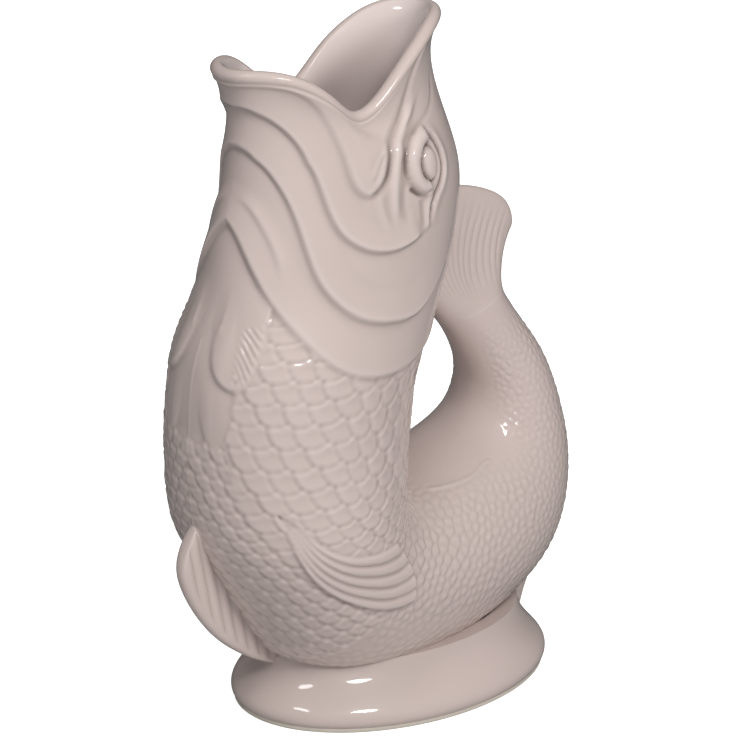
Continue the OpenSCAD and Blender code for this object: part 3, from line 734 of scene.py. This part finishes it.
# %% Lip, inner wall and shading
lip_middle = lip_point(columns)
sideways, rise = lip_ways(columns)
lip_rows = []
for a in np.radians(np.arange(15, 180, 15)):
    lip_rows.append(lip_middle + LIP * (np.cos(a) * sideways + np.sin(a) * rise))
lip_grid = both_sides(np.array(lip_rows))
inner_rows = np.concatenate([np.linspace(0, 1, 19)[:-1], np.linspace(1, CHAMBER_END, 115)])
inner = both_sides(skin_point(*np.meshgrid(inner_rows, columns, indexing="ij"), side=-1))
whole = np.concatenate([outer, lip_grid, inner])
OUTER, LIPS = len(outer), len(lip_grid)
PAINTED_LIGHT_INSIDE = -2.2  # painted light: the inner wall is painted pale in place of the light that falls into the mouth
pool_and_shade = np.zeros(whole.shape[:2])
pool_and_shade[:OUTER] = np.concatenate([skin_pool_and_shade, skin_pool_and_shade[:, -2:0:-1]], axis=1)[::-1]
# painted light: the whole inner wall takes the pale colour
pool_and_shade[OUTER + LIPS:] = PAINTED_LIGHT_INSIDE
down_way = np.gradient(whole, axis=0)
round_way = np.roll(whole, -1, axis=1) - np.roll(whole, 1, axis=1)
shading = unit(np.cross(round_way, down_way))
throat = OUTER - len(rows_mouth) - 10
if (shading[throat] * (whole[throat] - whole[throat].mean(0))).sum() < 0:
    shading = -shading
print("whole grid:", whole.shape[0], "rows of", whole.shape[1], "points")

# %% [markdown]
# ## Cutting the grid into the jug's parts
#
# In the plaster shop these are one casting, but the modeller made them one by one, and
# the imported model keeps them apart. Each grid face goes to the part it belongs to. A
# part that lies on the skin is lifted off as a closed plate, and the skin under it is
# pressed down a little, so the plate has a seat.

# %% Mesh helpers
def make_piece(name, points, faces, node, normals=None, pooling_and_shade=None):
    """A smooth mesh from points in millimetres; loose points are dropped."""
    faces = np.asarray(faces)
    used, flat = np.unique(faces.ravel(), return_inverse=True)
    faces = flat.reshape(faces.shape)
    mesh = bpy.data.meshes.new(name)
    mesh.vertices.add(len(used))
    mesh.vertices.foreach_set("co", (points[used] * MM).astype(np.float32).ravel())
    size = faces.shape[1]
    mesh.loops.add(faces.size)
    mesh.loops.foreach_set("vertex_index", faces.astype(np.int32).ravel())
    mesh.polygons.add(len(faces))
    mesh.polygons.foreach_set("loop_start", np.arange(len(faces), dtype=np.int32) * size)
    mesh.update(calc_edges=True)
    mesh.validate()
    mesh.shade_smooth()
    if normals is not None:
        kept = mesh.attributes.new("shading", "FLOAT_VECTOR", "POINT")
        kept.data.foreach_set("vector", normals[used].astype(np.float32).ravel())
    # gathered glaze and painted shade of the furrows, kept on the points for the glaze to read
    gathered_and_shade = mesh.attributes.new("pool_and_shade", "FLOAT", "POINT")
    if pooling_and_shade is not None:
        gathered_and_shade.data.foreach_set("value", pooling_and_shade[used].astype(np.float32).ravel())
    piece = bpy.data.objects.new(name, mesh)
    scene.collection.objects.link(piece)
    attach(piece, "root")
    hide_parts(node)
    return piece


def set_shading(piece):
    """Shades the piece by the directions kept from the whole grid."""
    mesh = piece.data
    kept = np.zeros(len(mesh.vertices) * 3, np.float32)
    mesh.attributes["shading"].data.foreach_get("vector", kept)
    mesh.attributes.remove(mesh.attributes["shading"])
    mesh.normals_split_custom_set_from_vertices(kept.reshape(-1, 3))


def strip_faces(first, second):
    """Quads between two rows of point numbers that close on themselves."""
    return np.stack([first, np.roll(first, -1), np.roll(second, -1), second], axis=-1)


def strips(ids):
    """The quads between every row of point numbers and the next one."""
    return [strip_faces(a, b) for a, b in zip(ids[:-1], ids[1:])]


COLS = whole.shape[1]
number = np.arange(whole.shape[0] * COLS).reshape(-1, COLS)


def row_of(u):
    """The grid row of the skin at station u."""
    return OUTER - 1 - int(np.argmin(np.abs(rows - u)))


def in_row_of(u):
    """The grid row of the inner wall at station u."""
    return OUTER + LIPS + int(np.argmin(np.abs(inner_rows - u)))


print("the neck is grid row", row_of(NECK), "and inner row", in_row_of(NECK))

# %% [markdown]
# The table below says which part owns a face of the skin: the last rule that holds for
# the middle of the face wins.

# %% Owners
def at_faces(field):
    """Values at the middles of the grid's faces, left half, in the order of rows."""
    return (field[:-1, :-1] + field[1:, :-1] + field[:-1, 1:] + field[1:, 1:]) / 4


cheek_gap = measure(cheek_edge, 40)[0]
second_gap = measure(second_edge, 60)[0]
lid_gap = np.abs(measure(lid_line, 12)[0])
on_cheek = (cheek_gap > 0) & (cheek_gap < OUT_OF_REACH) & (U < 3.3)
off_cheek = (cheek_gap < -0.6) | (U > 3.2)
on_inner_gill = (second_gap > 0.3) & (second_gap < OUT_OF_REACH)
on_flap = (front_gap > 0.2) & (back_gap > -0.3) & (back_gap < OUT_OF_REACH)
owner_rules = {
    "gill": (gill_gap > 0.3) & (T > 3) & (T < 164) & (U > 0.95) & (U < 5.7) & off_cheek,
    "inner_gill": on_inner_gill & (T > 4) & (T < 128) & (U > 0.5) & off_cheek,
    "cheek": on_cheek & (T > 9) & (T < 107) & (U > 0.3),
    "flap": on_flap & (T > 63) & (T < 134) & (U > 0.12),
    "eyelid": (lid_gap < 3.0) & (U > 0.72) & (T > 94),
    "eye": eye_round < 1.02,
    "breast_lobe": (low_gap > 0) & (gill_gap < 0) & (T > 4) & (T < 32) & (U > 5.2),
    "breast_fin": (lobe_gap > 0) & (T > 5) & (U > 3.2) & (gill_gap < 0) & (T < 60),
    "side_fin": in_fin > -0.1,
}
owner = np.zeros(at_faces(U).shape, int)
names = ["body"] + list(owner_rules)
for k, rule in enumerate(owner_rules.values(), start=1):
    owner[at_faces(rule.astype(float)) > 0.5] = k
print({name: int((owner == k).sum()) for k, name in enumerate(names)})

# %% [markdown]
# The hollow parts are closed shells: outer skin, a flat ring where they meet the next
# part, and the inner wall. The bend is cut off level with the top of the foot.

# %% Hollow parts
whole_owner = np.concatenate([owner, owner[:, ::-1]], axis=1)[::-1]
whole_owner = np.concatenate([np.zeros((FAN_ROWS, COLS), int), whole_owner])
plate_row, plate_col = np.nonzero(whole_owner > 0)
seat = np.zeros(whole.shape[:2])
covered_points = np.zeros(number[:OUTER].shape, int)
for dr in (0, 1):
    for dc in (0, 1):
        np.add.at(covered_points, (plate_row + dr, (plate_col + dc) % COLS), 1)
seat[:OUTER] = covered_points == 4
SEAT_DEPTH, PLATE_DEPTH = 1.9, 1.2
seated = whole - shading * (seat * SEAT_DEPTH)[..., None]
flat_points, flat_shading, flat_pool_and_shade = seated.reshape(-1, 3), shading.reshape(-1, 3), pool_and_shade.ravel()


def from_grid(name, quads, node):
    """A piece whose points, shading, gathered glaze and painted furrow shade all come from the
    whole grid.
    """
    return make_piece(name, flat_points, np.concatenate(quads), node,
                      normals=flat_shading, pooling_and_shade=flat_pool_and_shade)


def shell(name, high, low, node):
    """The closed shell between stations high and low, outside and inside."""
    order = list(number[row_of(low):row_of(high) + 1])
    if high == 0:
        order += list(number[OUTER:OUTER + LIPS])
    order += list(number[in_row_of(high):in_row_of(low) + 1])
    return from_grid(name, strips(order + [order[0]]), node)


head = shell("head", 0, NECK, "head")
trunk = shell("trunk", NECK, WAIST, "trunk")
bend = shell("trunk_bend", WAIST, TAIL_ROOT, "trunk")
for piece in (head, trunk, bend):
    print(piece.name, len(piece.data.polygons), "faces")

# %% [markdown]
# The tail is closed at its tip, inside and outside. An end is a flat oval that is the
# same on both sides, so it closes with strips from the left rim straight to the right.

# %% Tail
def end_cap(ring):
    """Strips across the mirror plane that close a ring of points."""
    k = np.arange(COLS // 2)
    left, right = ring[(COLS - k) % COLS], ring[(COLS - k - 1) % COLS]
    return np.stack([ring[k], ring[k + 1], right, left], -1)


outer_ids = number[FAN_ROWS:row_of(TAIL_ROOT) + 1]
inner_ids = number[in_row_of(TAIL_ROOT):in_row_of(CHAMBER_END) + 1]
tail = from_grid("tail", strips(outer_ids) + strips(inner_ids) + [
    strip_faces(outer_ids[-1], inner_ids[0]), end_cap(outer_ids[0])[:, ::-1],
    end_cap(inner_ids[-1])], "tail")
fan_ids = number[:FAN_ROWS + 1]
tail_fin = from_grid("tail_fin", strips(fan_ids) + [
    end_cap(fan_ids[0])[:, ::-1], end_cap(fan_ids[-1])], "tail_fin")
print("tail", len(tail.data.polygons), "faces; tail fin", len(tail_fin.data.polygons))

# %% [markdown]
# A plate is its own patch of the skin, a second sheet a little deeper, and a wall
# round its border: the edges that only one face has. The left and the right plate are
# told apart by the side of the grid that they lie on.

# %% Plates
def plate_piece(name, which, side):
    """The closed plate over the faces that one owner has on one side of the fish."""
    r, c = np.nonzero(whole_owner == which)
    mine = (c < COLS // 2) if side == "left" else (c >= COLS // 2)
    r, c = r[mine], c[mine]
    d = (c + 1) % COLS
    tops = np.stack([number[r, c], number[r, d], number[r + 1, d], number[r + 1, c]], -1)
    total = whole.shape[0] * COLS
    deep = tops[:, ::-1] + total
    edges = np.concatenate([tops[:, [k, (k + 1) % 4]] for k in range(4)])
    keys = edges[:, 0] * total + edges[:, 1]
    twins = edges[:, 1] * total + edges[:, 0]
    rim = edges[~np.isin(keys, twins)]
    walls = np.stack([rim[:, 1], rim[:, 0], rim[:, 0] + total, rim[:, 1] + total], -1)
    points = np.concatenate([whole, whole - shading * PLATE_DEPTH]).reshape(-1, 3)
    return make_piece(f"{name}_{side}", points, np.concatenate([tops, deep, walls]),
                      f"{name}_{side}",
                      normals=np.concatenate([flat_shading, -flat_shading]),
                      pooling_and_shade=np.concatenate([flat_pool_and_shade, flat_pool_and_shade]))


plates = []
for k, name in enumerate(names[1:], start=1):
    for side in ("left", "right"):
        plates.append(plate_piece(name, k, side))
print({p.name: len(p.data.polygons) for p in plates})

# %% [markdown]
# ## Levelling the bend on the foot
#
# A boolean would cut the shell, but a plane cut with a bridge between the two loops it
# leaves is quicker, and it keeps the shading directions that the points carry.

# %% Cut at the foot
FOOT_TOP = 22.0
cut = bmesh.new()
cut.from_mesh(bend.data)
found = bmesh.ops.bisect_plane(
    cut, geom=cut.verts[:] + cut.edges[:] + cut.faces[:], dist=1e-7,
    plane_co=(0, 0, FOOT_TOP * MM), plane_no=(0, 0, 1), clear_inner=True)
loops = [e for e in found["geom_cut"] if isinstance(e, bmesh.types.BMEdge)]
bmesh.ops.bridge_loops(cut, edges=loops)
cut.to_mesh(bend.data)
cut.free()
for piece in [head, trunk, bend, tail, tail_fin] + plates:
    set_shading(piece)
lowest = min(v.co.z for v in bend.data.vertices) / MM
print("bend is cut level, lowest point", round(lowest, 2), "mm")

# %% [markdown]
# ## Blades: belly fin and keel
#
# These two stand in the mirror plane. Each is swept from one end to the other, and every
# station is a flattened ring of points, over one face from the free edge to the buried
# one and back over the other. Rays are ripples in the thickness of that ring.

# %% Blade sweep
belly_fin_outer = JUG_HEIGHT * np.array([
    (-0.35, 0.322), (-0.369, 0.293), (-0.381, 0.262), (-0.372, 0.225),
    (-0.348, 0.18), (-0.318, 0.14), (-0.28, 0.108), (-0.24, 0.083), (-0.198, 0.067)])
belly_fin_inner = JUG_HEIGHT * np.array([
    (-0.33, 0.328), (-0.33, 0.32), (-0.325, 0.315), (-0.32, 0.29),
    (-0.3, 0.245), (-0.275, 0.2), (-0.25, 0.16), (-0.215, 0.122), (-0.168, 0.09)])
keel_outer = JUG_HEIGHT * np.array([
    (0.295, 0.15), (0.282, 0.112), (0.266, 0.082), (0.257, 0.06), (0.252, 0.04)])
keel_inner = JUG_HEIGHT * np.array([
    (0.25, 0.16), (0.215, 0.125), (0.195, 0.095), (0.185, 0.068), (0.18, 0.045)])


def ring_mesh(name, grid, rayed=False):
    """A closed piece from a grid of rings, with both ends capped by strips."""
    thick = np.abs(grid[..., 0])
    # the flutes' furrows get gathered glaze and painted shade
    gathered_and_shade = pooled_and_shaded(thick) * smooth_step(thick - 1.2) * rayed
    r, c = grid.shape[:2]
    ids = np.arange(r * c).reshape(r, c)
    quads = strips(ids)
    k = np.arange(c // 2)
    for ring, turn in ((ids[0], -1), (ids[-1], 1)):
        cap = np.stack([ring[k], ring[k + 1], ring[(c - k - 2) % c], ring[(c - k - 1) % c]], -1)
        quads.append(cap[:, ::turn])
    return make_piece(name, grid.reshape(-1, 3), np.concatenate(quads), name,
                      pooling_and_shade=gathered_and_shade.ravel())


def blade(outer_edge, inner_edge, half_at, stations, across):
    """Rings over both faces; half_at(s, w, yz) is the half thickness."""
    w = np.cos(np.pi * (np.arange(across) + 0.5) / across)
    rings = []
    for i in range(stations + 1):
        s = (1 - math.cos(math.pi * i / stations)) / 2
        place = np.array(s * (len(outer_edge) - 1))
        v, b = along(outer_edge, place), along(inner_edge, place)
        yz = (v + b) / 2 + (v - b) / 2 * w[:, None]
        face = np.concatenate([half_at(s, w, yz)[:, None], yz], axis=1)
        rings.append(np.concatenate([face, face[::-1] * MIRROR]))
    return np.array(rings)


print("blades are swept with", len(belly_fin_outer), "stations on the belly fin")

# %% [markdown]
# The belly fin's rays are flutes that run nearly straight down and stop at a plain band
# along the free edge. The keel is plain. Both swell where they meet the body, as the
# slip that joins two parts does.

# %% Belly fin and keel
FLUTE = 4.0  # millimetres from one flute to the next
THIN_END = 0.0009  # keeps the first and the last ring open by a hair


def rounded(s, w, power):
    """Rounds the edges (w) and the two ends (s) of a blade."""
    return (1 - np.abs(w) ** power) ** 0.5 * max(1 - abs(2 * s - 1) ** 10, THIN_END) ** 0.5


def belly_half(s, w, yz):
    band = smooth_step((0.8 - w) / 0.25) * smooth_step((1 - abs(2 * s - 1)) / 0.12)
    flutes = 0.5 * np.abs(np.sin(np.pi * (yz[:, 0] + 0.18 * yz[:, 1]) / FLUTE)) ** 0.8 - 0.45
    return (3.0 + flutes * band + 1.2 * smooth_step((-w - 0.2) / 0.8)) * rounded(s, w, 7)


def keel_half(s, w, yz):
    return (2.2 + 0.8 * smooth_step(-w)) * rounded(s, w, 5)


belly_fin = ring_mesh("belly_fin", blade(belly_fin_outer, belly_fin_inner, belly_half, 240, 44),
                      rayed=True)
keel_fin = ring_mesh("keel_fin", blade(keel_outer, keel_inner, keel_half, 60, 24))
print("belly fin", len(belly_fin.data.polygons), "faces; keel", len(keel_fin.data.polygons))

# %% [markdown]
# ## The foot
#
# The foot is an oval turned on no wheel: a profile swept round an ellipse, a little
# narrower across than along at every level. A bare ring of clay under it shows where
# the glaze was wiped off before firing.

# %% Foot and clay ring
FOOT_LONG, FOOT_WIDE, FOOT_POINTS = 126.2, 90.6, 240
RING, RING_HIGH, RECESS = 5.0, 1.6, 3.6
foot_profile = [  # height, length and width, as shares of the foot's own
    (0.075, 0.985, 0.98), (0.12, 0.996, 0.994), (0.17, 1, 1), (0.24, 0.999, 0.998),
    (0.32, 0.986, 0.98), (0.43, 0.955, 0.94), (0.6, 0.9, 0.862), (0.8, 0.856, 0.772),
    (1, 0.845, 0.725)]


def oval(row, inset, high):
    """An oval as long and wide as a profile row says, drawn in by inset."""
    a = 2 * np.pi * np.arange(FOOT_POINTS) / FOOT_POINTS
    long_half, wide_half = row[1] * FOOT_LONG / 2 - inset, row[2] * FOOT_WIDE / 2 - inset
    return np.stack([wide_half * np.sin(a), -long_half * np.cos(a), np.full(FOOT_POINTS, high)], -1)


base, top, floor_size = foot_profile[0], foot_profile[-1], (0, 0.93, 0.91)
foot_rings = [oval(base, RING, RECESS), oval(base, RING, RING_HIGH), oval(base, 0, RING_HIGH)]
for row in along(foot_profile, np.linspace(0, len(foot_profile) - 1, 60)):
    foot_rings.append(oval(row, 0, row[0] * FOOT_TOP))
foot_rings.append(oval(top, WALL * 1.3, FOOT_TOP))
foot_rings.append(oval(floor_size, WALL * 1.2, RECESS + WALL))
foot = ring_mesh("foot", np.array(foot_rings))
clay_profile = ((0.0, RING_HIGH), (0.15, 0.3), (0.5, 0.0), (RING - 0.5, 0.0),
                (RING - 0.15, 0.3), (RING, RING_HIGH))
clay_rings = np.concatenate([oval(base, inset, high) for inset, high in clay_profile])
ids = np.arange(len(clay_rings)).reshape(-1, FOOT_POINTS)
foot_ring = make_piece("foot_ring", clay_rings, np.concatenate(strips([*ids, ids[0]])),
                       "foot_ring")
for piece in (foot, foot_ring):
    piece.data.set_sharp_from_angle(angle=math.radians(50))
print("foot", len(foot.data.polygons), "faces")

# %% [markdown]
# ## Glaze
#
# A glossy glaze is a clear coat of glass over a coloured, matter body. One Principled
# shader holds both: the coat gives the small hard highlights, and the colour below it
# stays soft. The colour drifts between a pinker and a greyer mushroom in wide clouds,
# as a dipped glaze does. Two layers over it read the number kept on the points: darker
# in the furrows, where glaze has gathered and shade is painted in, and paler where glaze
# has run off the ridges and on the inner wall, where light is painted in. A faint ripple
# keeps the highlights from being perfect.

# %% Glaze material
def colour(red, green, blue):
    """A linear colour from the 0-255 values that a paint chart gives."""
    return tuple(((c / 255 + 0.055) / 1.055) ** 2.4 for c in (red, green, blue)) + (1.0,)


def set_sockets(node, values):
    for socket, value in values.items():
        node.inputs[socket].default_value = value
    return node


def add_node(tree, kind, values={}, **settings):
    """A new shader node with its settings and the values of its sockets."""
    node = tree.nodes.new("ShaderNode" + kind)
    for setting, choice in settings.items():
        setattr(node, setting, choice)
    return set_sockets(node, values)


def glaze_material(name, pink, grey, thick, thin_and_painted_light, surface):
    material = bpy.data.materials.new(name)
    material.use_nodes = True
    tree = material.node_tree
    shader = set_sockets(tree.nodes["Principled BSDF"], surface)
    where = add_node(tree, "TexCoord")
    clouds = add_node(tree, "TexNoise", {"Scale": 14.0, "Detail": 3.0})
    ripple = add_node(tree, "TexNoise", {"Scale": 320.0, "Detail": 2.0})
    tint = add_node(tree, "Mix", {"A": pink, "B": grey}, data_type="RGBA")
    bump = add_node(tree, "Bump", {"Strength": 0.04, "Distance": 0.0004})
    gathered_and_shade = add_node(tree, "Attribute", attribute_name="pool_and_shade")
    for noise in (clouds, ripple):
        tree.links.new(where.outputs["Object"], noise.inputs["Vector"])
    tree.links.new(clouds.outputs["Fac"], tint.inputs["Factor"])
    shown = tint.outputs["Result"]
    # darker where glaze gathers and shade is painted into the furrows; paler where glaze runs off,
    # and where light is painted onto the inner wall
    for strength, tone in ((0.28, thick), (-0.42, thin_and_painted_light)):
        amount = add_node(tree, "Math", {1: strength}, operation="MULTIPLY", use_clamp=True)
        layer = add_node(tree, "Mix", {"B": tone}, data_type="RGBA")
        tree.links.new(gathered_and_shade.outputs["Fac"], amount.inputs[0])
        tree.links.new(amount.outputs[0], layer.inputs["Factor"])
        tree.links.new(shown, layer.inputs["A"])
        shown = layer.outputs["Result"]
    tree.links.new(shown, shader.inputs["Base Color"])
    tree.links.new(ripple.outputs["Fac"], bump.inputs["Height"])
    tree.links.new(bump.outputs["Normal"], shader.inputs["Normal"])
    return material


glossy = {"Roughness": 0.42, "Coat Weight": 1.0, "Coat Roughness": 0.03, "Coat IOR": 1.5}
dry = {**glossy, "Roughness": 0.85, "Coat Weight": 0.0}
# dark colour: gathered glaze and painted furrow shade; pale colour: run-off glaze and painted light
# on the inner wall
glaze = glaze_material("mushroom glaze", colour(211, 192, 187), colour(204, 189, 181),
                       colour(95, 78, 70), colour(224, 210, 205), glossy)
clay = glaze_material("wiped clay", colour(226, 218, 205), colour(215, 206, 192),
                      colour(190, 178, 160), colour(235, 228, 216), dry)
for piece in [head, trunk, bend, tail, tail_fin, belly_fin, keel_fin, foot] + plates:
    piece.data.materials.append(glaze)
foot_ring.data.materials.append(clay)
print("materials:", [m.name for m in (glaze, clay)])

# %% [markdown]
# ## Floor and light
#
# The photograph shows the jug on pure white, lit softly from the camera's side. White
# comes from the floor and the world as the camera sees them. What the glaze mirrors of
# them is dimmer, so that its edges fall off as in the photograph.

# %% Stage
FLOOR_HALF = 3.0
corners = [(-FLOOR_HALF, -FLOOR_HALF, 0), (FLOOR_HALF, -FLOOR_HALF, 0),
           (FLOOR_HALF, FLOOR_HALF, 0), (-FLOOR_HALF, FLOOR_HALF, 0)]
floor_mesh = bpy.data.meshes.new("floor")
floor_mesh.from_pydata(corners, [], [(0, 1, 2, 3)])
floor = bpy.data.objects.new("floor", floor_mesh)
scene.collection.objects.link(floor)
floor_look = bpy.data.materials.new("pale floor")
floor_look.use_nodes = True
floor_mesh.materials.append(floor_look)
tree = floor_look.node_tree
shader = set_sockets(tree.nodes["Principled BSDF"], {
    "Roughness": 0.9, "Specular IOR Level": 0.0, "Emission Color": (1, 1, 1, 1)})
path = add_node(tree, "LightPath")
dimmer = add_node(tree, "Mix", {"A": (0.62, 0.62, 0.62, 1), "B": (0.15, 0.15, 0.15, 1)},
                  data_type="RGBA")
lift = add_node(tree, "Math", {1: 0.93}, operation="MULTIPLY")
tree.links.new(path.outputs["Is Glossy Ray"], dimmer.inputs["Factor"])
tree.links.new(dimmer.outputs["Result"], shader.inputs["Base Color"])
tree.links.new(path.outputs["Is Camera Ray"], lift.inputs[0])
tree.links.new(lift.outputs[0], shader.inputs["Emission Strength"])
print("floor is", 2 * FLOOR_HALF, "m wide")

# %% World
PALE_BLUE, WHITE = (0.93, 0.95, 1.0, 1), (1, 1, 1, 1)
world = bpy.data.worlds.new("studio")
scene.world = world
world.use_nodes = True
sky = world.node_tree
rays = add_node(sky, "LightPath")
diffuse_sky = set_sockets(sky.nodes["Background"], {"Color": PALE_BLUE, "Strength": 0.1})
shown = diffuse_sky.outputs["Background"]
for ray, tone, strength in (("Is Glossy Ray", PALE_BLUE, 0.04), ("Is Camera Ray", WHITE, 1.0)):
    seen = add_node(sky, "Background", {"Color": tone, "Strength": strength})
    choose = add_node(sky, "MixShader")
    sky.links.new(rays.outputs[ray], choose.inputs["Fac"])
    sky.links.new(shown, choose.inputs[1])
    sky.links.new(seen.outputs["Background"], choose.inputs[2])
    shown = choose.outputs["Shader"]
sky.links.new(shown, sky.nodes["World Output"].inputs["Surface"])
print("the world has", len(sky.nodes), "nodes")

# %% [markdown]
# Five soft lamps give the even light: a key, one above, one from the right, a low fill
# and one behind, for the views from there. Being wide, they would show as pale discs in
# the glaze, so the glaze doesn't mirror them. Two narrow bulbs do show, as the small
# bright spots on the lip, the scales and the foot.

# %% Lamps
LAMP_FAR = 1.5


def lamp(name, turn, tilt, wide, tall, watts, mirrored):
    """A lamp that looks at the jug from a compass turn and a tilt, in degrees."""
    a, e = math.radians(turn), math.radians(tilt)
    back = Vector((math.sin(a) * math.cos(e), -math.cos(a) * math.cos(e), math.sin(e)))
    light = bpy.data.lights.new(name, "AREA")
    light.shape, light.energy = "ELLIPSE", watts
    light.size, light.size_y = wide, tall
    holder = bpy.data.objects.new(name, light)
    holder.location = look_at + back * LAMP_FAR
    holder.rotation_mode = "QUATERNION"
    holder.rotation_quaternion = (-back).to_track_quat("-Z", "Y")
    holder.visible_glossy = mirrored
    scene.collection.objects.link(holder)


for lamp_row in (
        ("soft key", 76, 45, 0.5, 0.5, 7.3, False),
        ("soft top", 18, 68, 0.6, 0.6, 5.6, False),
        ("soft right", 96, 24, 0.4, 0.4, 4.2, False),
        ("low fill", 46, 6, 0.6, 0.6, 1.3, False),
        ("main bulb", 70, 41, 0.42, 0.16, 3.8, True),
        ("soft back", 232, 22, 0.6, 0.6, 9.0, False),
        ("left bulb", 13, 40, 0.4, 0.14, 1.6, True)):
    lamp(*lamp_row)
